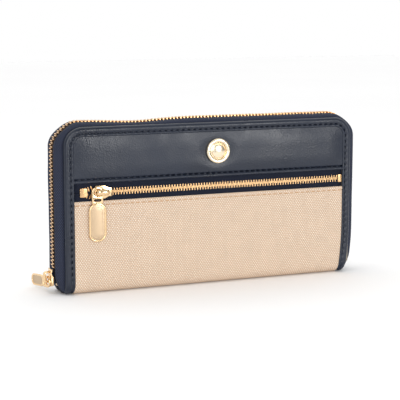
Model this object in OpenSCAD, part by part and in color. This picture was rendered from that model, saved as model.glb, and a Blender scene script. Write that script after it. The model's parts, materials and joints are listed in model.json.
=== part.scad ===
// Zip around wallet, standing closed on its spine.
// X runs along the wallet, the front faces -Y, and Z = 0 is the flat underside of the spine.

/* [Body] */
// Length of each cover
cover_w = 195; // [185:1:205]
// Height of the closed covers above the surface
cover_h = 103; // [98:1:108]
// Radius of the covers' top corners
corner_r = 12; // [10:0.5:14]
// Thickness between the outer faces of the two covers
body_t = 25; // [25:0.5:27]
// Radius of the fold along each side of the spine
fold_r = 7; // [6.6:0.1:7.2]
// Width of the leather binding strip
binding_w = 6.1; // [5:0.1:7]
// How far the binding stands proud of the covers
binding_proud = 0.6; // [0.4:0.1:0.8]

/* [Layers] */
// Thickness of the canvas and of the leather yoke
panel_t = 0.9; // [0.8:0.1:1]
// Thickness of the stiffening board
board_t = 0.7; // [0.6:0.1:0.8]
// Depth of the flat zip pocket behind the front board
bag_t = 1.0; // [0.9:0.1:1.1]
// Thickness of one sheet of pocket cloth
cloth_t = 0.25; // [0.2:0.05:0.3]
// Thickness of the zip tape
tape_t = 0.6; // [0.5:0.1:0.6]
// Thickness of the lining
lining_t = 0.4; // [0.3:0.1:0.5]
// Thickness of one leaf of card slots
leaf_t = 0.4; // [0.3:0.05:0.45]
// Number of card leaves on each cover
leaf_count = 3; // [3:1:3]

/* [Front zip pocket] */
// Height of the pocket zip's centre line
pocket_z = 63; // [60:0.5:66]
// Height of the canvas panel's top edge
canvas_top = 57.6; // [55:0.1:58]
// Height of the leather yoke's bottom edge
yoke_bottom = 68.5; // [68:0.1:71]
// Left end of the pocket zip's teeth
pocket_zip_left = -83; // [-84:0.5:-82]
// Right end of the pocket zip's teeth
pocket_zip_right = 88; // [84:0.5:88]
// Tooth spacing of the pocket zip
pocket_pitch = 1.8; // [1.7:0.1:2.6]
// Left edge of the pocket zip's top stop
top_stop_x = -87.9; // [-88:0.1:-87.9]
// Width of the top stop
top_stop_w = 4.8; // [4:0.1:4.8]
// Height of the top stop
top_stop_h = 5.6; // [5:0.1:5.6]
// Left edge of the pocket zip's bottom stop
bottom_stop_x = 88.3; // [88.2:0.1:88.4]
// Width of the bottom stop
bottom_stop_w = 2.7; // [2:0.1:2.7]
// Height of the bottom stop
bottom_stop_h = 5.2; // [5:0.1:5.6]
// Middle of the pocket slider along the wallet
pocket_slider_x = -73.5; // [-74:0.5:-70]
// Height of the seam between the canvas and the yoke of the back
back_seam = 63; // [58:1:68]

/* [Main zip] */
// How far the main zip's tape stands outside the covers' edge
zip_out = 4; // [4:0.1:4]
// Radius of the tape's outward bulge
bulge_r = 4; // [4:0.1:4]
// Tooth spacing of the main zip
main_pitch = 2.3; // [2.2:0.1:3]
// Height at which the covers' zip tape starts
tape_start = 17.3; // [17:0.1:18]
// Bottom of the main slider at rest
main_slider_z = 4.5; // [4:0.1:5]

/* [Sliders and pulls] */
// Length of a slider body
slider_l = 11; // [10.5:0.5:11.5]
// Width of a slider body
slider_w = 8; // [7.6:0.2:8.4]
// Width of the pocket pull's tab
pull_w = 11; // [10:0.5:12]
// Length of the pocket pull's tab
pull_l = 23.8; // [20:0.1:25]
// Width of the main pull's tab
main_pull_w = 7.4; // [7:0.1:8]
// Length of the main pull's tab
main_pull_l = 17.5; // [16:0.5:19]
// Outward turn of the main pull at rest, in degrees
main_pull_yaw = 8.5; // [6:0.5:9]
// Downward turn of the main pull at rest, in degrees
main_pull_droop = 6; // [3:0.5:6]

/* [Stud] */
// Diameter of the round stud
stud_d = 16; // [14:0.5:17]
// Place of the stud along the wallet
stud_x = 2.5; // [0:0.5:4]
// Height of the stud's centre
stud_z = 85; // [84:0.5:87]

/* [Coin pocket] */
// Half length of the coin pocket
coin_half_l = 86; // [80:1:87]
// Height of the coin pocket's walls
coin_top = 72; // [66:1:73]
// Thickness of the coin pocket's walls
coin_wall = 0.6; // [0.5:0.1:0.6]
// Inner half width of the coin pocket
coin_half_w = 2.7; // [2.5:0.1:2.7]
// Tooth spacing of the coin pocket's zip
coin_pitch = 1.8; // [1.7:0.1:2.6]

/* [Hidden] */
$fn = 48;
eps = 0.01;
half_w = cover_w / 2;
face_y = body_t / 2;
flat_y = face_y - fold_r;
corner_x = half_w - corner_r;
corner_z = cover_h - corner_r;
cover_bottom = fold_r + 0.3;
edge_t = 0.6;

// distances of the layers from the middle plane, from outside in
y_panel = face_y - panel_t;
y_board = y_panel - board_t;
y_bag = y_board - bag_t;
y_flange = y_bag - tape_t;
y_lining = y_flange - lining_t;

// spine
wall_t = panel_t + board_t;
spine_mid = half_w - binding_w;

// pocket zip: the chain lies just behind the front panels
tape_y = y_panel - 0.5;
window_low = 49.8;
window_high = 76.2;
window_half = 91.6;
teeth_gap = 0.7;
teeth_reach = 2.3;
teeth_front = y_panel + 0.5;
teeth_back = tape_y - 0.1;
tooth_l = 1.1;
plate_front = teeth_front + 0.2;
plate_back = tape_y - 0.2;
plate_t = 0.8;
leg_w = 1.6;
leg_d = 2.4;
pull_t = 1.4;
pull_y = plate_front + plate_t + 0.2;
ring_in = 1.95;
ring_out = 3.75;
pocket_leg_x = pocket_slider_x - 3.9;
bag_half = 89.5;
bag_low = 12;

// main zip: n is the distance outside the covers' edge
flange_in = 6;
tooth_n0 = 3.2;
tooth_n1 = 5.4;
tooth_y0 = 0.9;
tooth_y1 = 2.8;
tooth_neck = 1.5;
slot_half = 0.7;
inner_n = 2.9;
outer_n = 5.7;
main_plate = 1.1;
main_leg_z = main_slider_z + 3;
arch_n = 9.2;
arch_t = 1.6;
main_ring_n = 7.4;
main_ring_t = 1.2;

// coin pocket
coin_zip_z = coin_top + 4;
coin_tape_t = 0.5;
coin_tape_y = 4.8;
coin_tooth_y = 2;
coin_teeth_half = 76;
coin_slider_x = -70;
coin_slider_l = 9;
coin_slider_w = 6.6;
coin_bar_z = coin_zip_z + 2.4;

canvas_colour = "#e0c8a8";
leather_colour = "#2c3145";
tape_colour = "#363a4c";
gold_colour = "#d8ae68";
lining_colour = "#b9a58c";
board_colour = "#8d8578";

// ---- shared shapes ----

// A flat outline in X and Z, made a layer between two distances in front of the middle plane
module layer(outer, inner) {
    translate([0, -inner, 0])
        rotate([90, 0, 0])
            linear_extrude(outer - inner)
                children();
}

// The same shape on the back cover
module to_back() {
    mirror([0, 1, 0])
        children();
}

// Cover outline with round top corners, moved in from the edge
module cover_outline(inset, low = cover_bottom) {
    r = corner_r - inset;
    w = half_w - inset;
    top = cover_h - inset;
    translate([-w, low])
        square([2 * w, top - r - low]);
    translate([-corner_x, top - r - eps])
        square([2 * corner_x, r + eps]);
    for (side = [-1, 1])
        translate([side * corner_x, corner_z])
            circle(r);
}

// Rectangle with four round corners, centred
module round_rect(w, h, r) {
    square([w - 2 * r, h], center = true);
    square([w, h - 2 * r], center = true);
    for (sx = [-1, 1], sy = [-1, 1])
        translate([sx * (w / 2 - r), sy * (h / 2 - r)])
            circle(r);
}

// Filled cross-section of the spine in Y and Z, with round folds
module spine_section(r, centre_z) {
    difference() {
        union() {
            translate([-flat_y, centre_z - r])
                square([2 * flat_y, r + 1]);
            translate([-flat_y - r, centre_z])
                square([2 * (flat_y + r), 1]);
            for (side = [-1, 1])
                translate([side * flat_y, centre_z])
                    circle(r);
        }
        translate([-face_y - 5, fold_r])
            square([2 * face_y + 10, 20]);
    }
}

// Extrudes a Y-Z section along X
module along_x(x0, x1) {
    translate([x0, 0, 0])
        rotate([90, 0, 90])
            linear_extrude(x1 - x0)
                children();
}

// Points of the tape's centre line bulge, as [distance from the corner centre, distance from the middle plane]
function bulge_arc(r, from, to, steps) =
    [for (i = [0:steps])
        let (a = from + (to - from) * i / steps)
        [corner_r + r * cos(a), y_flange + tape_t / 2 - bulge_r + r * sin(a)]];

// Section of the main zip's tape from its sewn edge to the teeth
module tape_section(inner_edge) {
    r_out = bulge_r + tape_t / 2;
    r_in = bulge_r - tape_t / 2;
    polygon(concat(
        [[corner_r + inner_edge, y_flange + tape_t]],
        bulge_arc(r_out, 90, 0, 8),
        [[corner_r + r_out, tooth_neck], [corner_r + r_in, tooth_neck]],
        bulge_arc(r_in, 0, 90, 8),
        [[corner_r + inner_edge, y_flange]]
    ));
}

// Sweeps a section up the left side, over the top and down the right side of a cover
module around_cover(start) {
    side_l = corner_z - start;
    rotate([90, 0, 0]) {
        translate([corner_x, corner_z, 0])
            rotate([90, 0, 0])
                linear_extrude(side_l)
                    children();
        translate([corner_x, corner_z, 0])
            rotate_extrude(angle = 90)
                children();
        translate([-corner_x, corner_z, 0])
            rotate([0, 0, 90])
                rotate([90, 0, 0])
                    linear_extrude(2 * corner_x)
                        children();
        translate([-corner_x, corner_z, 0])
            rotate([0, 0, 90])
                rotate_extrude(angle = 90)
                    children();
        translate([-corner_x, start, 0])
            rotate([0, 0, 180])
                rotate([90, 0, 0])
                    linear_extrude(side_l)
                        children();
    }
}

// One metal tooth of the main zip, standing outwards along +X at the origin: a head and two legs on the tape
module main_tooth() {
    outside = zip_out + tape_t / 2;
    inside = zip_out - tape_t / 2 - 0.03;
    translate([corner_r + tooth_n0, -tooth_neck, -tooth_l / 2])
        cube([tooth_n1 - tooth_n0, tooth_neck - tooth_y0, tooth_l]);
    translate([corner_r + outside, -tooth_y1, -tooth_l / 2])
        cube([tooth_n1 - outside, tooth_y1 - tooth_neck, tooth_l]);
    translate([corner_r + tooth_n0, -tooth_y1, -tooth_l / 2])
        cube([inside - tooth_n0, tooth_y1 - tooth_neck, tooth_l]);
}

// A row of main zip teeth round a cover
module main_teeth_row() {
    side_n = floor((corner_z - tape_start) / main_pitch);
    top_n = floor(2 * corner_x / main_pitch);
    arc_n = floor((corner_r + zip_out) * PI / 2 / main_pitch);
    for (side = [0, 1])
        mirror([side, 0, 0]) {
            translate([corner_x, 0, 0])
                for (i = [0:side_n - 1])
                    translate([0, 0, corner_z - (i + 0.5) * main_pitch])
                        main_tooth();
            translate([corner_x, 0, corner_z])
                for (i = [0:arc_n - 1])
                    rotate([0, -(i + 0.5) * 90 / arc_n, 0])
                        main_tooth();
        }
    for (i = [0:top_n - 1])
        translate([(i - (top_n - 1) / 2) * main_pitch, 0, corner_z])
            rotate([0, -90, 0])
                main_tooth();
}

// ---- spine ----

module spine_canvas() {
    color(canvas_colour)
        along_x(-spine_mid, spine_mid)
            difference() {
                spine_section(fold_r, fold_r);
                spine_section(fold_r - panel_t, fold_r);
            }
}

module spine_board() {
    color(board_colour)
        along_x(-spine_mid, spine_mid)
            difference() {
                spine_section(fold_r - panel_t, fold_r);
                spine_section(fold_r - wall_t, fold_r);
            }
}

module spine_binding(side) {
    r = fold_r + binding_proud;
    color(leather_colour)
        along_x(side > 0 ? spine_mid : -half_w, side > 0 ? half_w : -spine_mid)
            difference() {
                spine_section(r, r);
                spine_section(fold_r - wall_t, fold_r);
            }
}

// Short end of the main zip: its tape is sewn into the spine and stands up to meet the covers' tape
module main_zip_end(side) {
    foot_low = 4.3;
    clear_n = 0.3;
    color(tape_colour)
        mirror([side > 0 ? 0 : 1, 0, 0])
            for (face = [0, 1])
                mirror([0, face, 0]) {
                    translate([corner_x, 0, tape_start - 0.3])
                        rotate([90, 0, 0])
                            rotate([90, 0, 0])
                                linear_extrude(tape_start - 0.3 - foot_low)
                                    intersection() {
                                        tape_section(0);
                                        translate([corner_r + clear_n, 0])
                                            square([20, 20]);
                                    }
                    translate([corner_x, 0, fold_r])
                        rotate([90, 0, 0])
                            rotate([90, 0, 0])
                                linear_extrude(fold_r - foot_low)
                                    intersection() {
                                        tape_section(-flange_in);
                                        translate([corner_r - flange_in, 0])
                                            square([flange_in + clear_n + eps, 20]);
                                    }
                }
}

// ---- coin pocket ----

module coin_pocket() {
    out_y = coin_half_w + coin_wall;
    floor_z = wall_t;
    color(lining_colour)
        difference() {
            translate([-coin_half_l, -out_y, floor_z])
                cube([2 * coin_half_l, 2 * out_y, coin_top - floor_z]);
            translate([-coin_half_l + coin_wall, -coin_half_w, floor_z + coin_wall])
                cube([2 * (coin_half_l - coin_wall), 2 * coin_half_w, coin_top]);
        }
}

module coin_zip_tape(front) {
    t = coin_tape_t;
    z = coin_zip_z - t / 2;
    color(tape_colour)
        mirror([0, front ? 0 : 1, 0])
            along_x(-coin_half_l, coin_half_l)
                polygon([
                    [-coin_tooth_y, z],
                    [-coin_tooth_y, z + t],
                    [-coin_tape_y - t / 2, z + t],
                    [-coin_tape_y - t / 2, z - 0.3],
                    [-coin_half_w - coin_wall, coin_top + 0.4],
                    [-coin_half_w - coin_wall, coin_top],
                    [-coin_half_w, coin_top],
                    [-coin_half_w, coin_top + 0.6],
                    [-coin_tape_y + t / 2, z]
                ]);
}

module coin_zip_teeth(front) {
    count = floor(2 * coin_teeth_half / coin_pitch);
    color(gold_colour)
        mirror([0, front ? 0 : 1, 0])
            for (i = [0:count - 1])
                translate([(i - (count - 1) / 2) * coin_pitch - tooth_l / 2, -coin_tooth_y, coin_zip_z - 0.7])
                    cube([tooth_l, coin_tooth_y - 0.6, 1.4]);
}

module coin_zip_stops() {
    color(gold_colour)
        for (side = [-1, 1])
            translate([side * (coin_teeth_half + 2), 0, coin_zip_z])
                cube([2, 2 * coin_tooth_y, 1.6], center = true);
}

module coin_slider_body() {
    half = coin_slider_w / 2;
    low = coin_zip_z - 1.6;
    high = coin_zip_z + 0.95;
    color(gold_colour) {
        translate([coin_slider_x - coin_slider_l / 2, -half, high])
            cube([coin_slider_l, coin_slider_w, 0.65]);
        translate([coin_slider_x - coin_slider_l / 2, -half, low])
            cube([coin_slider_l, coin_slider_w, 0.65]);
        for (side = [-1, 1])
            translate([coin_slider_x - coin_slider_l / 2, side > 0 ? half - 0.7 : -half, coin_zip_z + 0.5])
                cube([coin_slider_l, 0.7, 0.5]);
        translate([coin_slider_x - coin_slider_l / 2 + 0.5, -0.3, low])
            cube([2.4, 0.6, high - low + 0.1]);
    }
}

module coin_slider_crown() {
    base = coin_zip_z + 1.6;
    color(gold_colour)
        difference() {
            translate([coin_slider_x - 3.2, -1.1, base])
                cube([6.4, 2.2, 2.6]);
            translate([coin_slider_x - 2, -2, base - eps])
                cube([4, 4, 1.6]);
        }
}

module coin_pull() {
    tab_from = 4.6;
    tab_l = 13;
    color(gold_colour)
        translate([coin_slider_x, 0, coin_bar_z]) {
            rotate([90, 0, 0])
                cylinder(r = 0.55, h = 5.2, center = true);
            for (side = [-1, 1])
                translate([0, side > 0 ? 1.5 : -2.6, -0.5])
                    cube([tab_from + 0.5, 1.1, 1]);
            translate([tab_from, -2.6, -0.5])
                cube([tab_l, 5.2, 1]);
        }
}

// ---- covers ----

module canvas_panel(top) {
    layer(face_y, y_panel)
        intersection() {
            cover_outline(edge_t);
            translate([-half_w, 0])
                square([cover_w, top]);
        }
}

module yoke(low) {
    layer(face_y, y_panel)
        intersection() {
            cover_outline(edge_t);
            translate([-half_w, low])
                square([cover_w, cover_h]);
        }
}

// Leather strip over the edge of a cover: an outer leg and the turned edge
module binding() {
    layer(face_y + binding_proud, face_y)
        difference() {
            cover_outline(0);
            cover_outline(binding_w, 0);
        }
    layer(face_y, y_bag)
        difference() {
            cover_outline(0);
            cover_outline(edge_t, 0);
        }
}

module lining() {
    layer(y_flange, y_lining)
        cover_outline(edge_t, cover_bottom);
}

// A leaf of card slots; each is lower and nearer the middle than the one before
module card_leaf(index) {
    top = 94 - 13 * (index - 1);
    low = 11;
    outer = y_lining - leaf_t * (index - 1);
    layer(outer, outer - leaf_t)
        translate([0, (top + low) / 2])
            round_rect(176, top - low, 3);
}

module main_zip_tape() {
    around_cover(tape_start)
        tape_section(-flange_in);
}

module front_canvas_panel() {
    color(canvas_colour)
        canvas_panel(canvas_top);
}

module front_yoke() {
    color(leather_colour)
        difference() {
            yoke(yoke_bottom);
            translate([stud_x, 0, stud_z])
                rotate([90, 0, 0])
                    cylinder(r = 1.45, h = 40);
        }
}

module front_board() {
    color(board_colour)
        layer(y_panel, y_board)
            difference() {
                cover_outline(edge_t);
                translate([-window_half, window_low])
                    square([2 * window_half, window_high - window_low]);
                translate([stud_x, stud_z])
                    circle(5.2);
            }
}

// Flat cloth pouch behind the pocket zip, open along the zip
module front_pocket_bag() {
    color(lining_colour) {
        layer(y_bag + cloth_t, y_bag)
            translate([-bag_half, bag_low])
                square([2 * bag_half, window_high - bag_low]);
        layer(y_board, y_board - cloth_t)
            translate([-bag_half, bag_low])
                square([2 * bag_half, window_low - bag_low]);
        layer(y_board - cloth_t, y_bag + cloth_t) {
            translate([-bag_half, bag_low])
                square([2 * bag_half, cloth_t]);
            for (side = [-1, 1])
                translate([side > 0 ? bag_half - cloth_t : -bag_half, bag_low])
                    square([cloth_t, window_low - bag_low]);
        }
    }
}

module pocket_zip_tape(upper) {
    low = upper ? pocket_z + teeth_gap + 0.2 : window_low + 0.1;
    high = upper ? window_high - 0.1 : pocket_z - teeth_gap - 0.2;
    color(tape_colour)
        layer(y_panel, tape_y)
            translate([-window_half + 0.1, low])
                square([2 * window_half - 0.2, high - low]);
}

// One pocket tooth: a head beside the tape's edge and two legs that grip the tape
module pocket_tooth() {
    head = 0.2;
    translate([0, -teeth_front, teeth_gap])
        cube([tooth_l, teeth_front - teeth_back, head]);
    translate([0, -teeth_front, teeth_gap + head])
        cube([tooth_l, teeth_front - y_panel, teeth_reach - teeth_gap - head]);
    translate([0, -tape_y, teeth_gap + head])
        cube([tooth_l, tape_y - teeth_back, teeth_reach - teeth_gap - head]);
}

module pocket_zip_teeth(upper) {
    count = floor((pocket_zip_right - pocket_zip_left) / pocket_pitch);
    color(gold_colour)
        for (i = [0:count - 1])
            translate([pocket_zip_left + (i + 0.5) * pocket_pitch - tooth_l / 2, 0, pocket_z])
                mirror([0, 0, upper ? 0 : 1])
                    pocket_tooth();
}

// Stop of the pocket zip: a front and a back plate that grip both tapes, joined between the tapes
module pocket_stop(x, w, h) {
    between = teeth_gap + 0.2;
    color(gold_colour)
        translate([x, 0, pocket_z]) {
            translate([0, -teeth_front - 0.1, -h / 2])
                cube([w, teeth_front + 0.1 - y_panel, h]);
            translate([0, -tape_y, -h / 2])
                cube([w, tape_y - teeth_back, h]);
            translate([0, -y_panel, -between])
                cube([w, y_panel - tape_y, 2 * between]);
        }
}

module pocket_slider_body() {
    half = slider_w / 2;
    left = pocket_slider_x - slider_l / 2;
    color(gold_colour) {
        layer(plate_front + plate_t, plate_front)
            translate([pocket_slider_x, pocket_z])
                round_rect(slider_l, slider_w, 1.6);
        layer(plate_back, plate_back - 0.5)
            translate([pocket_slider_x, pocket_z])
                round_rect(slider_l, slider_w, 1.6);
        for (side = [-1, 1])
            translate([left + 1.6, -plate_front - eps, pocket_z + (side > 0 ? half - 0.8 : -half)])
                cube([slider_l - 3.2, 0.5, 0.8]);
        translate([left + 0.6, -plate_front - eps, pocket_z - 0.4])
            cube([2.6, plate_front - plate_back + 2 * eps, 0.8]);
    }
}

// Arch that holds the pull; the pull's ring goes round its left leg
module pocket_slider_crown() {
    base = plate_front + plate_t;
    rise = pull_t + 0.5;
    color(gold_colour)
        translate([0, -base, pocket_z]) {
            for (x = [pocket_leg_x, pocket_leg_x + 6.8])
                translate([x - leg_w / 2, -rise - eps, -leg_d / 2])
                    cube([leg_w, rise + eps, leg_d]);
            translate([pocket_leg_x - leg_w / 2, -rise - 1.3, -leg_d / 2])
                cube([6.8 + leg_w, 1.3, leg_d]);
        }
}

// A pull lying in the X-Y plane, with its ring at the origin and its tab along -Y
module pull_outline(tab_w, tab_l, corner, neck) {
    difference() {
        union() {
            circle(ring_out);
            translate([-ring_out, -neck])
                square([2 * ring_out, neck]);
            translate([0, -neck - tab_l / 2])
                round_rect(tab_w, tab_l, corner);
        }
        circle(ring_in);
        translate([-1.7, -neck + 0.9])
            square([3.4, 0.9]);
    }
}

module pull_tab(tab_w, tab_l, corner, neck, thick) {
    linear_extrude(thick)
        pull_outline(tab_w, tab_l, corner, neck);
}

module pocket_pull() {
    color(gold_colour)
        translate([pocket_leg_x, -pull_y, pocket_z])
            rotate([90, 0, 0])
                pull_tab(pull_w, pull_l, 3.4, 6.5, pull_t);
}

module stud_cap() {
    r = stud_d / 2 - 1.4;
    color(gold_colour)
        translate([stud_x, -face_y, stud_z])
            rotate([90, 0, 0]) {
                cylinder(r1 = r, r2 = r - 0.8, h = 1.8);
                translate([0, 0, -1.5])
                    cylinder(r = 1.4, h = 1.6);
            }
}

module stud_rim() {
    color(gold_colour)
        translate([stud_x, -face_y, stud_z])
            rotate([90, 0, 0])
                difference() {
                    cylinder(r = stud_d / 2, h = 2.4);
                    translate([0, 0, -1])
                        cylinder(r = stud_d / 2 - 1.4, h = 5);
                }
}

module stud_backplate() {
    color(gold_colour)
        layer(y_panel, y_board + 0.05)
            translate([stud_x, stud_z])
                difference() {
                    circle(5);
                    circle(1.42);
                }
}

// ---- main slider ----

// Maps X to the distance outside the left edge, Y to the back and Z to up
module left_edge() {
    translate([-half_w, 0, 0])
        mirror([1, 0, 0])
            children();
}

module main_slider_body() {
    half = slider_w / 2 + 0.3;
    z = main_slider_z;
    color(gold_colour)
        left_edge() {
            translate([outer_n, -half, z])
                cube([main_plate, 2 * half, slider_l]);
            translate([inner_n - 1, -half, z])
                cube([1, 2 * half, slider_l]);
            for (side = [-1, 1]) {
                translate([outer_n - 1, side > 0 ? half - 1 : -half, z])
                    cube([1 + eps, 1, slider_l]);
                translate([inner_n - eps, side > 0 ? half - 1 : -half, z])
                    cube([0.4, 1, slider_l]);
            }
            translate([inner_n - eps, -slot_half + 0.1, z + 0.6])
                cube([outer_n - inner_n + 2 * eps, 2 * slot_half - 0.2, 2.6]);
        }
}

module main_slider_crown() {
    base = outer_n + main_plate;
    color(gold_colour)
        left_edge() {
            translate([base, 0, main_leg_z])
                rotate([0, 90, 0])
                    cylinder(r = leg_w / 2, h = arch_n - base + eps);
            translate([base, -leg_d / 2, main_leg_z + 6 - leg_w / 2])
                cube([arch_n - base + eps, leg_d, leg_w]);
            translate([arch_n, -leg_d / 2, main_leg_z - leg_w / 2])
                cube([arch_t, leg_d, 6 + leg_w]);
        }
}

module main_pull() {
    color(gold_colour)
        translate([-half_w - main_ring_n - main_ring_t / 2, 0, main_leg_z])
            rotate([-main_pull_droop, 0, 0])
                rotate([0, 0, main_pull_yaw])
                    rotate([0, 90, 0])
                        rotate([0, 0, 180])
                            translate([0, 0, -main_ring_t / 2])
                                pull_tab(main_pull_w, main_pull_l, 2.4, 6.2, main_ring_t);
}

// ---- drawing ----

spine_canvas();
spine_board();
spine_binding(-1);  // spine_binding_left
spine_binding(1);  // spine_binding_right
main_zip_end(-1);  // main_zip_end_left
main_zip_end(1);  // main_zip_end_right
coin_pocket();
coin_zip_tape(true);  // coin_zip_tape_front
coin_zip_tape(false);  // coin_zip_tape_back
coin_zip_teeth(true);  // coin_zip_teeth_front
coin_zip_teeth(false);  // coin_zip_teeth_back
coin_zip_stops();
coin_slider_body();
coin_slider_crown();
coin_pull();
front_canvas_panel();
front_yoke();
color(leather_colour) binding();  // front_binding
front_board();
color(lining_colour) lining();  // front_lining
color(leather_colour) card_leaf(1);  // front_card_leaf_1
color(leather_colour) card_leaf(2);  // front_card_leaf_2
color(leather_colour) card_leaf(3);  // front_card_leaf_3
front_pocket_bag();
pocket_zip_tape(true);  // pocket_zip_tape_upper
pocket_zip_tape(false);  // pocket_zip_tape_lower
pocket_zip_teeth(true);  // pocket_zip_teeth_upper
pocket_zip_teeth(false);  // pocket_zip_teeth_lower
pocket_stop(top_stop_x, top_stop_w, top_stop_h);  // pocket_zip_top_stop
pocket_stop(bottom_stop_x, bottom_stop_w, bottom_stop_h);  // pocket_zip_bottom_stop
pocket_slider_body();
pocket_slider_crown();
pocket_pull();
stud_cap();
stud_rim();
stud_backplate();
color(tape_colour) main_zip_tape();  // main_zip_tape_front
color(gold_colour) main_teeth_row();  // main_zip_teeth_front
color(canvas_colour) to_back() canvas_panel(back_seam);  // back_canvas_panel
color(leather_colour) to_back() yoke(back_seam);  // back_yoke
color(leather_colour) to_back() binding();  // back_binding
color(board_colour) to_back() layer(y_panel, y_board) cover_outline(edge_t);  // back_board
color(board_colour) to_back() layer(y_board, y_bag) cover_outline(edge_t);  // back_filler
color(lining_colour) to_back() lining();  // back_lining
color(leather_colour) to_back() card_leaf(1);  // back_card_leaf_1
color(leather_colour) to_back() card_leaf(2);  // back_card_leaf_2
color(leather_colour) to_back() card_leaf(3);  // back_card_leaf_3
color(tape_colour) to_back() main_zip_tape();  // main_zip_tape_back
color(gold_colour) to_back() main_teeth_row();  // main_zip_teeth_back
main_slider_body();
main_slider_crown();
main_pull();
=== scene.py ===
"""Zip around wallet in cotton duck and navy leather, standing closed on its spine.

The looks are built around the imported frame. Shapes are worked out in millimetres
and become metres when a mesh is made.
"""

import json
import math

import bmesh
import bpy
import numpy as np
from mathutils import Matrix, Vector, noise


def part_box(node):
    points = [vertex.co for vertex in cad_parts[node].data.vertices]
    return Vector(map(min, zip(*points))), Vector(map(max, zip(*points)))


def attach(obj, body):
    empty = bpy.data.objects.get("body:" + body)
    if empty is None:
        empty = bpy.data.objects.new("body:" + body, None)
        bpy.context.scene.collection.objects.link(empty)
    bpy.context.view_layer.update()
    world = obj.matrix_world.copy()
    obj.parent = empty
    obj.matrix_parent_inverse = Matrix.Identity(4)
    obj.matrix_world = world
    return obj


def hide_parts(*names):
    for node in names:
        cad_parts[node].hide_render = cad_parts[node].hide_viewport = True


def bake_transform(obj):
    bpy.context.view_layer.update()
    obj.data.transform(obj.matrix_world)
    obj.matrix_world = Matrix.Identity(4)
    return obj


bl_info = {
    "name": "Zip around wallet",
    "version": (1, 0, 0),
    "blender": (4, 5, 0),
    "location": "View3D > Sidebar > Wallet",
    "description": "Builds a zip around wallet piece by piece",
    "category": "Object",
}

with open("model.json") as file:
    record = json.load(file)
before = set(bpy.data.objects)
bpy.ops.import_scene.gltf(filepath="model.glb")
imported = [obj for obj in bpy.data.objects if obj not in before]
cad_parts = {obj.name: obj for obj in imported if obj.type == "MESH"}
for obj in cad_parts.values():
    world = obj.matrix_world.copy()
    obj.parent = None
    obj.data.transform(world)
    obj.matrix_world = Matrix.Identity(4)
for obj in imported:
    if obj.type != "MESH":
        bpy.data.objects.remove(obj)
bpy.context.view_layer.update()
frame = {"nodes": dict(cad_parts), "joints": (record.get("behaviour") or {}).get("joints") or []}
MM = 0.001


def node_box(name):
    """Lowest and highest corners of a node, in millimetres."""
    low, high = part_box(name)
    return np.array(low) / MM, np.array(high) / MM


# ---- sizes worked out from the frame, in millimetres ----
BINDING_LOW, BINDING_HIGH = node_box("front_binding")
CANVAS_LOW, CANVAS_HIGH = node_box("front_canvas_panel")
SPINE_HIGH = node_box("spine_canvas")[1]
TAPE_LOW, TAPE_HIGH = node_box("main_zip_tape_front")
STUD_LOW, STUD_HIGH = node_box("stud_rim")
POCKET_LOW, POCKET_HIGH = node_box("pocket_zip_tape_lower")
POCKET_UP_LOW, POCKET_UP_HIGH = node_box("pocket_zip_tape_upper")
COIN_LOW, COIN_HIGH = node_box("coin_pocket")

HALF_W = BINDING_HIGH[0]
COVER_H = BINDING_HIGH[2]
PANEL_Y = -CANVAS_LOW[1]
BINDING_Y = -BINDING_LOW[1]
CORNER_R = 12.0
CORNER_X = HALF_W - CORNER_R
CORNER_Z = COVER_H - CORNER_R
BINDING_W = HALF_W - SPINE_HIGH[0]
FOLD_R = SPINE_HIGH[2]
FLAT_Y = PANEL_Y - FOLD_R
FOLD_BINDING_R = BINDING_Y - FLAT_Y
CANVAS_TOP = CANVAS_HIGH[2]
YOKE_BOTTOM = node_box("front_yoke")[0][2]
BACK_SEAM = node_box("back_yoke")[0][2]
BACK_YOKE_BOTTOM = BACK_SEAM - 0.4
LINING_Y = -node_box("front_lining")[0][1]
FLANGE_Y = LINING_Y + 0.3
# how far the main zip stands out of the sides and the top, and how much less it does at the corners
ZIP_OUT = TAPE_HIGH[0] - HALF_W - 0.3
ZIP_TOP_OUT = 2.2
ZIP_CORNER_DIP = 1.2
POCKET_Z = (POCKET_HIGH[2] + POCKET_UP_LOW[2]) / 2
POCKET_TAPE_Y = -POCKET_LOW[1] - 0.1
STUD_X = (STUD_LOW[0] + STUD_HIGH[0]) / 2
STUD_Z = (STUD_LOW[2] + STUD_HIGH[2]) / 2
STUD_R = (STUD_HIGH[0] - STUD_LOW[0]) / 2

# ---- how the leather and the canvas are sewn, in millimetres ----
UNDER_BINDING = 0.9  # how far canvas and yoke go in under the binding
STITCH_INSET = 4.1  # from a cover's edge to its line of stitches
GROOVE = 0.8  # how deep that line draws the binding in
HEM_STITCH = 2.35  # from the canvas hem to its stitches
YOKE_STITCH = 2.5  # from the yoke's lower edge to its stitches
STITCH_HALF = HALF_W - BINDING_W - 0.6  # half the length of the two straight seams
CARD_STITCH_SPACING = 0.0028  # in metres, like the sizes that a maker sets

# the covers have settled towards the spine at their lower right
SETTLE_HEIGHT = 34.0
SETTLE_DEPTH = 2.8
SETTLE_FROM_X = 40.0
SOFT_BODIES = ("spine", "front_cover", "back_cover")

CAMERA_PLACE = (-0.3179, -0.7579, 0.1779)
CAMERA_YAW = 22.48
CAMERA_PITCH = 8.71
CAMERA_LENS = 117.0
LAMPS = (
    # name, place, what it shines at, size in metres, watts
    ("front_softbox", (-0.5, -1.4, 0.38), (0.0, 0.0, 0.05), 0.9, 10.5),
    ("sheen_softbox", (0.5, -1.2, 0.18), (0.0, 0.0, 0.08), 0.36, 4.4),
)


# ---- colours and the tool for nodes ----
def hex_colour(text):
    """sRGB hex to the linear colour that shaders use."""
    parts = [int(text[i : i + 2], 16) / 255 for i in (1, 3, 5)]
    linear = [c / 12.92 if c <= 0.04045 else ((c + 0.055) / 1.055) ** 2.4 for c in parts]
    return (*linear, 1.0)


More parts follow.
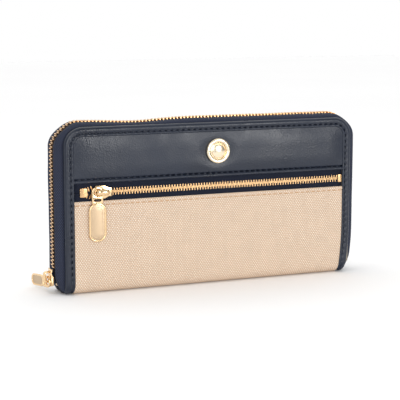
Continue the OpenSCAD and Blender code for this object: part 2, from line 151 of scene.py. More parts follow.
def scaled(colour, factor):
    """A colour made lighter or darker."""
    return tuple(min(1.0, c * factor) for c in tuple(colour)[:3]) + (1.0,)


def add_node(tree, kind, values=None, **settings):
    """Adds a node with its settings. Each value is a number, a colour, or the socket that feeds it.

    A Mix node of colours has its factor at socket 0, its colours at 6 and 7, and its result at output 2.
    """
    node = tree.nodes.new(kind)
    for name, value in settings.items():
        setattr(node, name, value)
    for name, value in (values or {}).items():
        if isinstance(value, bpy.types.NodeSocket):
            tree.links.new(value, node.inputs[name])
        else:
            node.inputs[name].default_value = value
    return node


class WalletSizes(bpy.types.PropertyGroup):
    """Sizes that a maker would change."""

    stitch_spacing: bpy.props.FloatProperty(
        name="Stitch spacing",
        description="Distance from one stitch to the next",
        default=0.0038,
        min=0.002,
        max=0.006,
        unit="LENGTH",
    )
    main_tooth_spacing: bpy.props.FloatProperty(
        name="Main zip tooth spacing",
        description="Distance between the teeth on one side of the main zip",
        default=0.0023,
        min=0.0018,
        max=0.004,
        unit="LENGTH",
    )
    pocket_tooth_spacing: bpy.props.FloatProperty(
        name="Pocket zip tooth spacing",
        description="Distance between the teeth on one side of the pocket zips",
        default=0.0018,
        min=0.0014,
        max=0.004,
        unit="LENGTH",
    )
    weave_pitch: bpy.props.FloatProperty(
        name="Canvas thread spacing",
        description="Distance between the threads of the cotton duck",
        default=0.0008,
        min=0.0005,
        max=0.003,
        unit="LENGTH",
    )


class WalletColours(bpy.types.PropertyGroup):
    """Colours that a maker would change."""

    canvas: bpy.props.FloatVectorProperty(
        name="Canvas",
        description="Natural cotton duck",
        size=4,
        subtype="COLOR",
        default=hex_colour("#F2EBDF"),
    )
    leather: bpy.props.FloatVectorProperty(
        name="Leather",
        description="Navy leather",
        size=4,
        subtype="COLOR",
        default=hex_colour("#0E1829"),
    )
    tape: bpy.props.FloatVectorProperty(
        name="Zip tape",
        description="Navy zip tape",
        size=4,
        subtype="COLOR",
        default=hex_colour("#1C2336"),
    )
    gold: bpy.props.FloatVectorProperty(
        name="Gold",
        description="Gold plating of the teeth and the stud",
        size=4,
        subtype="COLOR",
        default=hex_colour("#E2B988"),
    )


def sizes():
    return bpy.context.scene.wallet_sizes


def colours():
    return bpy.context.scene.wallet_colours


# ---- materials ----
def start_material(name):
    """An empty material and its tree."""
    material = bpy.data.materials.new(name)
    material.use_nodes = True
    tree = material.node_tree
    tree.nodes.clear()
    return material, tree


def finish_material(material, values):
    """Adds the shader with its values, and the output."""
    tree = material.node_tree
    shader = add_node(tree, "ShaderNodeBsdfPrincipled", values)
    add_node(tree, "ShaderNodeOutputMaterial", {"Surface": shader.outputs["BSDF"]})
    return material


def once(function):
    """Each material is made the first time that it is asked for."""
    made = []

    def get():
        if not made:
            made.append(function())
        return made[0]

    return get


def woven_height(tree, pitch_u, pitch_v):
    """A plain weave over a UV map in metres: the map, which thread lies on top, and the height."""
    uv = add_node(tree, "ShaderNodeUVMap", uv_map="cloth").outputs["UV"]
    wobble = add_node(tree, "ShaderNodeTexNoise", {"Vector": uv, "Scale": 260.0, "Detail": 2.0})
    split = add_node(tree, "ShaderNodeSeparateXYZ", {"Vector": uv})
    centred = add_node(tree, "ShaderNodeMath", {0: wobble.outputs["Fac"], 1: 0.5}, operation="SUBTRACT")
    shift = add_node(tree, "ShaderNodeMath", {0: centred.outputs[0], 1: 0.9}, operation="MULTIPLY")
    waves = {}
    for index, (axis, pitch) in enumerate((("X", pitch_u), ("Y", pitch_v))):
        values = {0: split.outputs[axis], 1: math.pi / pitch, 2: shift.outputs[0]}
        turns = add_node(tree, "ShaderNodeMath", values, operation="MULTIPLY_ADD")
        waves[index] = add_node(tree, "ShaderNodeMath", {0: turns.outputs[0]}, operation="SINE").outputs[0]
    crossing = add_node(tree, "ShaderNodeMath", waves, operation="MULTIPLY").outputs[0]
    raised = add_node(tree, "ShaderNodeMath", {0: crossing, 1: 0.0}, operation="MAXIMUM")
    over = add_node(tree, "ShaderNodeMath", {0: raised.outputs[0], 1: 0.6}, operation="POWER")
    sunk = add_node(tree, "ShaderNodeMath", {0: crossing, 1: 0.0}, operation="MINIMUM")
    depth = add_node(tree, "ShaderNodeMath", {0: sunk.outputs[0]}, operation="ABSOLUTE")
    under = add_node(tree, "ShaderNodeMath", {0: depth.outputs[0], 1: 0.6}, operation="POWER")
    both = {0: under.outputs[0], 1: 0.3, 2: over.outputs[0]}
    height = add_node(tree, "ShaderNodeMath", both, operation="MULTIPLY_ADD").outputs[0]
    return uv, crossing, height


@once
def cotton_duck():
    """Natural cotton duck, plain woven from thick yarn: dry and matt, with painted shade where its threads
    lie low, so that a lighter dot shows at each crossing.
    """
    material, tree = start_material("woven_cotton_duck")
    pitch = sizes().weave_pitch
    uv, over, height = woven_height(tree, pitch, pitch * 1.42)
    slub_values = {"Vector": uv, "Scale": 95.0, "Detail": 3.0, "Roughness": 0.6}
    slub = add_node(tree, "ShaderNodeTexNoise", slub_values)
    # painted shade: the sunk parts of the weave take the darker tan, the raised crossings the canvas colour
    weave_shade_pair = {0: height, 6: hex_colour("#CFAB8A"), 7: tuple(colours().canvas)}
    weave_with_shade = add_node(tree, "ShaderNodeMix", weave_shade_pair, data_type="RGBA")
    threads = add_node(tree, "ShaderNodeMapRange", {"Value": over, "From Min": -1.0, "From Max": 1.0})
    tones = {0: threads.outputs[0], 6: (0.82, 0.82, 0.82, 1.0), 7: (1.0, 1.0, 1.0, 1.0)}
    two_tone = add_node(tree, "ShaderNodeMix", tones, data_type="RGBA")
    layers = {0: 0.6, 6: weave_with_shade.outputs[2], 7: two_tone.outputs[2]}
    mixed = add_node(tree, "ShaderNodeMix", layers, data_type="RGBA", blend_type="MULTIPLY")
    uneven = {0: slub.outputs["Fac"], 1: 0.16, 2: 0.92}
    tone = add_node(tree, "ShaderNodeMath", uneven, operation="MULTIPLY_ADD")
    shading = {0: mixed.outputs[2], "Scale": tone.outputs[0]}
    toned = add_node(tree, "ShaderNodeVectorMath", shading, operation="SCALE")
    bump = add_node(tree, "ShaderNodeBump", {"Height": height, "Strength": 0.9, "Distance": 0.0003})
    values = {"Base Color": toned.outputs[0], "Normal": bump.outputs["Normal"]}
    return finish_material(material, {**values, "Roughness": 0.88, "Specular IOR Level": 0.25})


def leather_finish(name, colour, grain_mm, roughness, bump_distance):
    """Grained leather: small cells pressed into the surface and a soft, uneven polish."""
    material, tree = start_material(name)
    place = add_node(tree, "ShaderNodeTexCoord").outputs["Object"]
    cell_values = {"Vector": place, "Scale": 1.0 / (grain_mm * MM), "Smoothness": 0.6}
    cells = add_node(tree, "ShaderNodeTexVoronoi", cell_values, feature="SMOOTH_F1")
    crease_values = {"Vector": place, "Scale": 420.0, "Detail": 4.0, "Roughness": 0.65}
    crease = add_node(tree, "ShaderNodeTexNoise", crease_values)
    patch = add_node(tree, "ShaderNodeTexNoise", {"Vector": place, "Scale": 38.0, "Detail": 3.0})
    grain = {0: cells.outputs["Distance"], 1: crease.outputs["Fac"]}
    height = add_node(tree, "ShaderNodeMath", grain, operation="ADD")
    tone_pair = {0: patch.outputs["Fac"], 6: scaled(colour, 0.65), 7: scaled(colour, 1.5)}
    tint = add_node(tree, "ShaderNodeMix", tone_pair, data_type="RGBA")
    span = {"From Min": 0.3, "From Max": 0.7, "To Min": roughness - 0.1, "To Max": roughness + 0.12}
    polish = add_node(tree, "ShaderNodeMapRange", {"Value": patch.outputs["Fac"], **span})
    pressed = {"Height": height.outputs[0], "Strength": 0.5, "Distance": bump_distance}
    bump = add_node(tree, "ShaderNodeBump", pressed)
    values = {"Base Color": tint.outputs[2], "Roughness": polish.outputs[0], "IOR": 1.5}
    return finish_material(material, {**values, "Normal": bump.outputs["Normal"]})


@once
def navy_leather():
    """Aniline dyed calf, finely grained and softly polished: dark blue with a grey sheen."""
    dye = colours().leather
    return leather_finish("navy_calf_leather", dye, grain_mm=0.8, roughness=0.33, bump_distance=0.00012)


@once
def card_leather():
    """Thin split leather of the card slots: a little duller than the outside."""
    dye = colours().leather
    return leather_finish("navy_split_leather", dye, grain_mm=0.7, roughness=0.52, bump_distance=0.00008)


def tape_finish(name, colour, low, high):
    """Dyed woven zip tape: fine ribs along its length, matt. Low and high darken its gaps and lighten its
    ribs, as painted shade and painted highlight.
    """
    material, tree = start_material(name)
    # the real thread is about 0.35 mm; it is drawn at 0.9 mm so that it shows
    height = woven_height(tree, 0.0009, 0.0006)[2]
    # painted shade in the weave's gaps and painted highlight on its ribs
    tone_pair = {0: height, 6: scaled(colour, low), 7: scaled(colour, high)}
    tint = add_node(tree, "ShaderNodeMix", tone_pair, data_type="RGBA")
    bump = add_node(tree, "ShaderNodeBump", {"Height": height, "Strength": 0.7, "Distance": 0.00012})
    values = {"Base Color": tint.outputs[2], "Normal": bump.outputs["Normal"]}
    return finish_material(material, {**values, "Roughness": 0.78, "Specular IOR Level": 0.2})


@once
def zip_tape():
    """Close woven polyester tape of the two small zips, in a darker copy of the navy: painted shade, as the
    pocket tape lies recessed under the yoke.
    """
    # the navy scaled to 0.6 is painted shade
    return tape_finish("woven_zip_tape", scaled(colours().tape, 0.6), low=0.7, high=1.35)


@once
def gusset_tape():
    """Wide cotton tape of the main zip, in a lighter copy of the navy, with its ribs painted much paler than
    its gaps: painted highlight and painted shade.
    """
    # a lighter navy, with low and high far apart: painted highlight on the ribs and painted shade in the
    # gaps
    return tape_finish("woven_gusset_tape", hex_colour("#2B3040"), low=0.45, high=2.1)


def plated_metal(name, colour, roughness, scratch):
    """Gold plated die casting: a metal colour with fine rubbing marks in its polish."""
    material, tree = start_material(name)
    place = add_node(tree, "ShaderNodeTexCoord").outputs["Object"]
    mark_values = {"Vector": place, "Scale": 900.0, "Detail": 4.0, "Roughness": 0.7}
    marks = add_node(tree, "ShaderNodeTexNoise", mark_values).outputs["Fac"]
    golds = {0: marks, 6: scaled(colour, 0.94), 7: scaled(colour, 1.05)}
    tint = add_node(tree, "ShaderNodeMix", golds, data_type="RGBA")
    span = {"To Min": roughness - 0.05, "To Max": roughness + 0.07}
    polish = add_node(tree, "ShaderNodeMapRange", {"Value": marks, **span})
    bump = add_node(tree, "ShaderNodeBump", {"Height": marks, "Strength": scratch, "Distance": 0.00003})
    values = {"Base Color": tint.outputs[2], "Roughness": polish.outputs[0], "Metallic": 1.0}
    return finish_material(material, {**values, "Normal": bump.outputs["Normal"]})


@once
def gold_teeth():
    """Stamped brass teeth with a bright gold plating."""
    return plated_metal("gold_plated_brass", colours().gold, roughness=0.24, scratch=0.2)


@once
def gold_castings():
    """Die cast sliders and stud, polished and plated a warm gold."""
    return plated_metal("polished_gold_plate", hex_colour("#EFCFA2"), roughness=0.16, scratch=0.12)


@once
def satin_gold():
    """The pulls' faces, satin finished in a paler gold."""
    return plated_metal("satin_gold_plate", hex_colour("#C6AE90"), roughness=0.34, scratch=0.3)


@once
def stud_plate():
    """The stud's pale gold plating, polished."""
    return plated_metal("pale_gold_plate", hex_colour("#F3E4C8"), roughness=0.22, scratch=0.03)


def thread(name, colour):
    """Bonded sewing thread: matt, with a slight twist."""
    material, tree = start_material(name)
    place = add_node(tree, "ShaderNodeTexCoord").outputs["Object"]
    twist = add_node(tree, "ShaderNodeTexNoise", {"Vector": place, "Scale": 1500.0})
    tone_pair = {0: twist.outputs["Fac"], 6: scaled(colour, 0.75), 7: scaled(colour, 1.25)}
    tint = add_node(tree, "ShaderNodeMix", tone_pair, data_type="RGBA").outputs[2]
    values = {"Base Color": tint, "Roughness": 0.65, "Specular IOR Level": 0.12}
    return finish_material(material, values)


@once
def navy_thread():
    """Navy bonded thread."""
    return thread("navy_bonded_thread", hex_colour("#0C111C"))


@once
def tan_thread():
    """Tan bonded thread."""
    return thread("tan_bonded_thread", hex_colour("#C49A70"))


@once
def cotton_lining():
    """Plain woven beige lining cloth, fine and matt."""
    material, tree = start_material("plain_cotton_lining")
    place = add_node(tree, "ShaderNodeTexCoord").outputs["Object"]
    base = hex_colour("#B9A58C")
    weave_values = {"Vector": place, "Scale": 1100.0, "Randomness": 0.25}
    weave = add_node(tree, "ShaderNodeTexVoronoi", weave_values, distance="CHEBYCHEV")
    height = weave.outputs["Distance"]
    tone_pair = {0: height, 6: scaled(base, 1.08), 7: scaled(base, 0.8)}
    tint = add_node(tree, "ShaderNodeMix", tone_pair, data_type="RGBA").outputs[2]
    bump = add_node(tree, "ShaderNodeBump", {"Height": height, "Strength": 0.5, "Distance": 0.00008})
    values = {"Base Color": tint, "Normal": bump.outputs["Normal"], "Roughness": 0.85}
    return finish_material(material, values)


@once
def bag_board():
    """Grey pressed fibre board inside the covers: dull with fine flecks."""
    material, tree = start_material("pressed_fibre_board")
    place = add_node(tree, "ShaderNodeTexCoord").outputs["Object"]
    base = hex_colour("#8D8578")
    fleck_values = {"Vector": place, "Scale": 700.0, "Detail": 5.0, "Roughness": 0.8}
    flecks = add_node(tree, "ShaderNodeTexNoise", fleck_values)
    tone_pair = {0: flecks.outputs["Fac"], 6: scaled(base, 0.7), 7: scaled(base, 1.2)}
    tint = add_node(tree, "ShaderNodeMix", tone_pair, data_type="RGBA").outputs[2]
    return finish_material(material, {"Base Color": tint, "Roughness": 0.9})


@once
def studio_floor():
    """White painted sweep, with painted shade that greys it toward its front edge, where the room is dim."""
    material, tree = start_material("white_painted_sweep")
    place = add_node(tree, "ShaderNodeTexCoord").outputs["Object"]
    paint = add_node(tree, "ShaderNodeTexNoise", {"Vector": place, "Scale": 3.0})
    whites = {0: paint.outputs["Fac"], 6: hex_colour("#FBFBFB"), 7: hex_colour("#FEFEFE")}
    white = add_node(tree, "ShaderNodeMix", whites, data_type="RGBA").outputs[2]
    split = add_node(tree, "ShaderNodeSeparateXYZ", {"Vector": place})
    span = {"Value": split.outputs["Y"], "From Min": -0.6, "From Max": -0.28}
    nearness = add_node(tree, "ShaderNodeMapRange", span, interpolation_type="SMOOTHSTEP")
    # painted shade: the floor greys away from the wallet toward the dim front
    floor_shade_pair = {0: nearness.outputs["Result"], 6: hex_colour("#6E6E6E"), 7: white}
    shade = add_node(tree, "ShaderNodeMix", floor_shade_pair, data_type="RGBA").outputs[2]
    values = {"Base Color": shade, "Roughness": 0.9, "Specular IOR Level": 0.1}
    return finish_material(material, values)


# ---- numbers and places ----
def held(value):
    """A value held between 0 and 1."""
    return max(0.0, min(1.0, value))


def hump(distance, width):
    """A smooth rise to 1 where the distance is nought."""
    return math.exp(-((distance / width) ** 2))


def turn_steps(first, last, count):
    """Cosine and sine of evenly spaced angles, given in degrees."""
    angles = [math.radians(a) for a in np.linspace(first, last, count)]
    return [(math.cos(a), math.sin(a)) for a in angles]


def facing_front(x, y, z):
    """Stands a flat shape upright at a point in millimetres, with its face to the front."""
    return Matrix.Translation(Vector((x, y, z)) * MM) @ Matrix.Rotation(math.radians(90), 4, "X")


def new_object(name, data):
    """An object in the scene's own collection."""
    obj = bpy.data.objects.new(name, data)
    bpy.context.scene.collection.objects.link(obj)
    return obj


# ---- meshes ----
def make_mesh(name, points, faces, material, uv=None, smooth=True):
    """An object whose points are given in millimetres; uv is one pair in millimetres for each point."""
    mesh = bpy.data.meshes.new(name)
    mesh.from_pydata((np.asarray(points, float) * MM).tolist(), [], faces)
    if uv is not None:
        layer = mesh.uv_layers.new(name="cloth")
        for loop in mesh.loops:
            layer.data[loop.index].uv = (uv[loop.vertex_index][0] * MM, uv[loop.vertex_index][1] * MM)
    mesh.polygons.foreach_set("use_smooth", [smooth] * len(mesh.polygons))
    mesh.materials.append(material)
    return new_object(name, mesh)


def grid_faces(rows, cols, close_rows=False, close_cols=False, flip=False):
    """Quads over a grid of points stored row by row."""
    faces = []
    for i in range(rows if close_rows else rows - 1):
        for j in range(cols if close_cols else cols - 1):
            a = i * cols + j
            b = i * cols + (j + 1) % cols
            c = (i + 1) % rows * cols + (j + 1) % cols
            d = (i + 1) % rows * cols + j
            faces.append((a, d, c, b) if flip else (a, b, c, d))
    return faces


def fix_normals(obj, merge=1e-6):
    """Merges doubles and turns every face outwards."""
    bm = bmesh.new()
    bm.from_mesh(obj.data)
    bmesh.ops.remove_doubles(bm, verts=bm.verts, dist=merge)
    bmesh.ops.recalc_face_normals(bm, faces=bm.faces)
    bm.to_mesh(obj.data)
    bm.free()
    return obj


def loft(name, rings, material, uv=None, smooth=True):
    """A closed tube through rings of equal size, capped at both ends."""
    rings = np.asarray(rings, float)
    rows, cols = rings.shape[:2]
    faces = grid_faces(rows, cols, close_cols=True)
    faces.append(tuple(range(cols - 1, -1, -1)))
    faces.append(tuple(range((rows - 1) * cols, rows * cols)))
    flat_uv = None if uv is None else np.asarray(uv, float).reshape(-1, 2)
    obj = make_mesh(name, rings.reshape(-1, 3), faces, material, flat_uv, smooth)
    return fix_normals(obj)


def sheet_shell(name, surface, thickness, material, uv=None):
    """A grid of points given a thickness on its inner side. Rows run across columns."""
    surface = np.asarray(surface, float)
    rows, cols = surface.shape[:2]
    along = np.gradient(surface, axis=0)
    across = np.gradient(surface, axis=1)
    normal = np.cross(along, across)
    normal /= np.maximum(np.linalg.norm(normal, axis=2, keepdims=True), 1e-9)
    inner = surface - normal * thickness
    count = rows * cols
    points = np.concatenate([surface.reshape(-1, 3), inner.reshape(-1, 3)])
    outer_faces = grid_faces(rows, cols, flip=True)
    inner_faces = [tuple(i + count for i in reversed(f)) for f in outer_faces]
    rim = [(i, 0) for i in range(rows)] + [(rows - 1, j) for j in range(1, cols)]
    rim += [(i, cols - 1) for i in range(rows - 2, -1, -1)] + [(0, j) for j in range(cols - 2, 0, -1)]
    loop = [i * cols + j for i, j in rim]
    edge_faces = []
    for k, a in enumerate(loop):
        b = loop[(k + 1) % len(loop)]
        edge_faces.append((a, b, b + count, a + count))
    flat_uv = None
    if uv is not None:
        flat = np.asarray(uv, float).reshape(-1, 2)
        flat_uv = np.concatenate([flat, flat])
    obj = make_mesh(name, points, outer_faces + inner_faces + edge_faces, material, flat_uv)
    return fix_normals(obj)


def smooth_edges(obj, angle):
    """Smooth shading, but sharp where two faces meet at more than an angle in degrees."""
    bm = bmesh.new()
    bm.from_mesh(obj.data)
    for edge in bm.edges:
        if len(edge.link_faces) == 2 and edge.calc_face_angle(0) > math.radians(angle):
            edge.smooth = False
    bm.to_mesh(obj.data)
    bm.free()
    return obj


def circle_points(x, y, r, count, start=0.0, sweep=2 * math.pi):
    """Points along a circle, or along a part of one that keeps both its ends."""
    whole = abs(sweep - 2 * math.pi) < 1e-6
    steps = count if whole else count - 1
    return [
        (x + r * math.cos(start + sweep * i / steps), y + r * math.sin(start + sweep * i / steps))
        for i in range(count)
    ]


def round_rect(x, y, w, h, r, per_corner):
    """Outline of a rectangle with round corners."""
    points = []
    corners = ((1, 1, 0.0), (-1, 1, 0.5), (-1, -1, 1.0), (1, -1, 1.5))
    for sx, sy, start in corners:
        cx = x + sx * (w / 2 - r)
        cy = y + sy * (h / 2 - r)
        points += circle_points(cx, cy, r, per_corner, start * math.pi, math.pi / 2)
    return points


def plate(name, outlines, thickness, bevel, matrix, material):
    """A flat plate with holes and rounded edges, from outlines in millimetres, placed by a matrix."""
    curve = bpy.data.curves.new(name, "CURVE")
    curve.dimensions = "2D"
    curve.fill_mode = "BOTH"
    for outline in outlines:
        spline = curve.splines.new("POLY")
        spline.points.add(len(outline) - 1)
        for point, (x, y) in zip(spline.points, outline):
            point.co = (x * MM, y * MM, 0.0, 1.0)
        spline.use_cyclic_u = True
    curve.extrude = (thickness / 2 - bevel) * MM
    curve.bevel_depth = bevel * MM
    curve.bevel_resolution = 2
    curve.offset = -bevel * MM
    maker = new_object(name + "_outline", curve)
    bpy.context.view_layer.update()
    graph = bpy.context.evaluated_depsgraph_get()
    mesh = bpy.data.meshes.new_from_object(maker.evaluated_get(graph))
    bpy.data.objects.remove(maker)
    bpy.data.curves.remove(curve)
    if not mesh.polygons:
        raise RuntimeError("the outline of " + name + " encloses nothing")
    mesh.transform(matrix)
    mesh.materials.clear()
    mesh.materials.append(material)
    mesh.name = name
    mesh.polygons.foreach_set("use_smooth", [True] * len(mesh.polygons))
    return smooth_edges(fix_normals(new_object(name, mesh), merge=2e-6), angle=40.0)


def rod(name, path, radii, squash, material, sides=16):
    """A round bar along points in millimetres, with a radius at each; squash makes it wider along Y."""
    path = [Vector(p) for p in path]
    side = Vector((0, 1, 0))
    rings = []
    for i, point in enumerate(path):
        ahead = path[min(i + 1, len(path) - 1)] - path[max(i - 1, 0)]
        normal = ahead.normalized().cross(side).normalized()
        r = radii[i]
        ring = []
        for k in range(sides):
            a = 2 * math.pi * k / sides
            ring.append(point + side * (r * squash * math.cos(a)) + normal * (r * math.sin(a)))
        rings.append([tuple(p) for p in ring])
    return loft(name, rings, material)


def lathe(name, profile, matrix, material, sides=64):
    """A shape turned about local Z and placed by a matrix; profile is (radius, height) in millimetres."""
    points = []
    for r, h in profile:
        for k in range(sides):
            a = 2 * math.pi * k / sides
            points.append((r * math.cos(a), r * math.sin(a), h))
    faces = grid_faces(len(profile), sides, close_cols=True)
    obj = make_mesh(name, points, faces, material)
    fix_normals(obj, merge=1e-7)
    obj.data.transform(matrix)
    return smooth_edges(obj, angle=50.0)


def join(name, objects):
    """Several objects as one mesh."""
    bm = bmesh.new()
    materials = []
    for obj in objects:
        remap = []
        for material in obj.data.materials:
            if material not in materials:
                materials.append(material)
            remap.append(materials.index(material))
        first = len(bm.faces)
        bm.from_mesh(obj.data)
        bm.faces.ensure_lookup_table()
        for face in bm.faces[first:]:
            face.material_index = remap[face.material_index]
    mesh = bpy.data.meshes.new(name)
    bm.to_mesh(mesh)
    bm.free()
    for material in materials:
        mesh.materials.append(material)
    for obj in objects:
        bpy.data.objects.remove(obj)
    return new_object(name, mesh)


def mirrored(obj, name):
    """A copy of an object on the back cover."""
    copy = new_object(name, obj.data.copy())
    copy.data.name = name
    copy.data.transform(Matrix.Diagonal((1, -1, 1, 1)))
    copy.data.flip_normals()
    return copy


def to_back(maker, name):
    """Moves an object that was made on the front cover to the back cover."""
    copy = mirrored(maker, name)
    bpy.data.objects.remove(maker)
    return copy


def settle(obj):
    """Draws the right end in towards the spine, as the soft covers have settled."""
    count = len(obj.data.vertices)
    flat = np.empty(count * 3)
    obj.data.vertices.foreach_get("co", flat)
    points = flat.reshape(-1, 3) / MM
    low = np.clip(1.0 - points[:, 2] / SETTLE_HEIGHT, 0.0, 1.0)
    far = np.clip((points[:, 0] - SETTLE_FROM_X) / (HALF_W - SETTLE_FROM_X), 0.0, 1.1)
    points[:, 0] -= SETTLE_DEPTH * low**2 * far
    obj.data.vertices.foreach_set("co", (points * MM).ravel())
    obj.data.update()


def place_on(obj, body, slot, *nodes):
    """Rides a piece on a body and hides the nodes that it stands for; its slot is not used."""
    if body in SOFT_BODIES:
        settle(obj)
    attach(obj, body)
    if nodes:
        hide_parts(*nodes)
    return obj


def bend_at_spine(obj, body, slot, *nodes, low=4.0, high=12.0):
    """Settles a piece that runs from the spine up a cover, fixes its place and hides the nodes that it
    stands for.
    """
    settle(obj)
    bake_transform(obj)
    if nodes:
        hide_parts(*nodes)
    return obj


# ---- what repeats along a path ----
def row_tree():
    """Node tree that sets a shape at even steps along a path in the X-Z plane."""
    tree = bpy.data.node_groups.new("row_along_path", "GeometryNodeTree")
    sockets = tree.interface
    sockets.new_socket("Geometry", in_out="INPUT", socket_type="NodeSocketGeometry")
    names = (
        ("Spacing", "NodeSocketFloat", 0.0033),
        ("Start", "NodeSocketFloat", 0.0),
        ("Tilt", "NodeSocketFloat", 0.0),
        ("Seed", "NodeSocketInt", 1),
    )
    for name, kind, value in names:
        sockets.new_socket(name, in_out="INPUT", socket_type=kind).default_value = value
    sockets.new_socket("Shape", in_out="INPUT", socket_type="NodeSocketObject")
    sockets.new_socket("Material", in_out="INPUT", socket_type="NodeSocketMaterial")
    sockets.new_socket("Geometry", in_out="OUTPUT", socket_type="NodeSocketGeometry")
    given = add_node(tree, "NodeGroupInput").outputs
    curve = add_node(tree, "GeometryNodeMeshToCurve", {"Mesh": given["Geometry"]}).outputs["Curve"]
    length = add_node(tree, "GeometryNodeCurveLength", {"Curve": curve}).outputs["Length"]
    margins = {0: length, 1: given["Start"]}
    end = add_node(tree, "ShaderNodeMath", margins, operation="SUBTRACT").outputs[0]
    # sockets 4 and 5 are the two lengths
    kept = {"Curve": curve, 4: given["Start"], 5: end}
    trimmed = add_node(tree, "GeometryNodeTrimCurve", kept, mode="LENGTH").outputs["Curve"]
    even = {"Curve": trimmed, "Length": given["Spacing"]}
    steps = add_node(tree, "GeometryNodeResampleCurve", even, mode="LENGTH").outputs["Curve"]
    tangent = {"Vector": add_node(tree, "GeometryNodeInputTangent").outputs["Tangent"]}
    turned = add_node(tree, "FunctionNodeAlignRotationToVector", tangent, axis="X", pivot_axis="Y")
    least = add_node(tree, "ShaderNodeMath", {0: given["Tilt"], 1: -1.0}, operation="MULTIPLY")
    # sockets 2 and 3 are the least and greatest number, and output 1 is the number
    leans = {2: least.outputs[0], 3: given["Tilt"], "Seed": given["Seed"]}
    lean = add_node(tree, "FunctionNodeRandomValue", leans, data_type="FLOAT").outputs[1]
    small = add_node(tree, "FunctionNodeAxisAngleToRotation", {"Axis": (0.0, 1.0, 0.0), "Angle": lean})
    turns = {"Rotation": turned.outputs[0], "Rotate By": small.outputs[0]}
    both = add_node(tree, "FunctionNodeRotateRotation", turns, rotation_space="LOCAL")
    shape = add_node(tree, "GeometryNodeObjectInfo", {"Object": given["Shape"]})
    set_out = {"Points": steps, "Instance": shape.outputs["Geometry"], "Rotation": both.outputs[0]}
    copies = add_node(tree, "GeometryNodeInstanceOnPoints", set_out)
    real = add_node(tree, "GeometryNodeRealizeInstances", {"Geometry": copies.outputs[0]})
    finish = {"Geometry": real.outputs[0], "Material": given["Material"]}
    painted = add_node(tree, "GeometryNodeSetMaterial", finish)
    add_node(tree, "NodeGroupOutput", {"Geometry": painted.outputs[0]})
    return tree


def row_along(name, path, spacing, shape, material, start=0.0, tilt=0.0, seed=1, half_step=False):
    """Sets a shape along a path, in millimetres, and turns the result into a plain mesh.

    With half_step the shapes stand midway between those of a row on the same path.
    """
    length = sum(math.dist(a, b) for a, b in zip(path, path[1:])) * MM
    spacing = length / (int(length / spacing) + 0.02)
    if half_step:
        start = spacing / MM / 2
    tree = bpy.data.node_groups.get("row_along_path") or row_tree()
    mesh = bpy.data.meshes.new(name + "_path")
    points = [tuple(c * MM for c in p) for p in path]
    mesh.from_pydata(points, [(i, i + 1) for i in range(len(points) - 1)], [])
    carrier = new_object(name + "_path", mesh)
    modifier = carrier.modifiers.new("row", "NODES")
    modifier.node_group = tree
    values = {
        "Spacing": float(spacing),
        "Start": float(start * MM),
        "Tilt": float(tilt),
        "Seed": seed,
        "Shape": shape,
        "Material": material,
    }
    for item in tree.interface.items_tree:
        if item.item_type == "SOCKET" and item.in_out == "INPUT" and item.name in values:
            modifier[item.identifier] = values[item.name]
    bpy.context.view_layer.update()
    graph = bpy.context.evaluated_depsgraph_get()
    made = bpy.data.meshes.new_from_object(carrier.evaluated_get(graph))
    carrier.modifiers.remove(modifier)
    bpy.data.objects.remove(carrier)
    if not made.polygons:
        raise RuntimeError("nothing was set along " + name)
    made.name = name
    return new_object(name, made)


def stitch_shape(name, length, radius):
    """One stitch: a short thread that dips into the cloth at both ends."""
    rings = []
    sides = 6
    # a thread is thinner at its two ends, where it goes into its holes
    for t in (-1.0, -0.86, -0.4, 0.4, 0.86, 1.0):
        r = radius * (0.45 if abs(t) > 0.9 else 1.0)
        dip = 0.32 * t**4
        ring = []
        for k in range(sides):
            a = 2 * math.pi * k / sides
            ring.append((t * length / 2, dip + r * math.sin(a) * 0.8, r * math.cos(a)))
        rings.append(ring)
    return loft(name, rings, navy_thread())


def tooth_shape(name, turn_to_depth, past, reach, thick, deep):
    """One metal tooth: legs that grip the tape, a narrow neck and a rounded head with a raised nib.

    It stands across the zip from -past beyond the middle line to reach on its own side.
    """
    outline = (
        (reach, thick * 0.46),
        (reach - 0.4, thick * 0.5),
        (0.9, thick * 0.46),
        (0.2, thick * 0.5),
        (-past * 0.6, thick * 0.48),
        (-past, thick * 0.28),
    )
    levels = ((-1.0, 0.72), (-0.8, 1.0), (0.8, 1.0), (1.0, 0.72))
    rings = []
    for depth, share in levels:
        ring = [(half * share, depth * deep / 2, across) for across, half in outline]
        ring += [(-half * share, depth * deep / 2, across) for across, half in reversed(outline)]
        rings.append(ring)
    tooth = loft(name, rings, gold_teeth(), smooth=False)
    if turn_to_depth:
        tooth.data.transform(Matrix.Rotation(math.radians(90), 4, "X"))
    return tooth


def cover_edge(inset, low, step=2.0):
    """Points round a cover at a distance inside its edge: up its left, over its top and down its right."""
    r = CORNER_R - inset
    x = HALF_W - inset
    top = COVER_H - inset
    points = []
    rises = max(2, int((CORNER_Z - low) / step))
    for i in range(rises):
        points.append((-x, low + (CORNER_Z - low) * i / rises))
    turns = 14
    for i in range(turns):
        a = math.pi - math.pi / 2 * i / turns
        points.append((-CORNER_X + r * math.cos(a), CORNER_Z + r * math.sin(a)))
    spans = int(2 * CORNER_X / step)
    for i in range(spans):
        points.append((-CORNER_X + 2 * CORNER_X * i / spans, top))
    for i in range(turns):
        a = math.pi / 2 - math.pi / 2 * i / turns
        points.append((CORNER_X + r * math.cos(a), CORNER_Z + r * math.sin(a)))
    for i in range(rises + 1):
        points.append((x, CORNER_Z - (CORNER_Z - low) * i / rises))
    return points


def soft(x, z, size, seed):
    """Slow, even unevenness of cloth and leather, between -1 and 1."""
    return noise.noise(Vector((x / size + seed, z / size, seed * 1.7)))


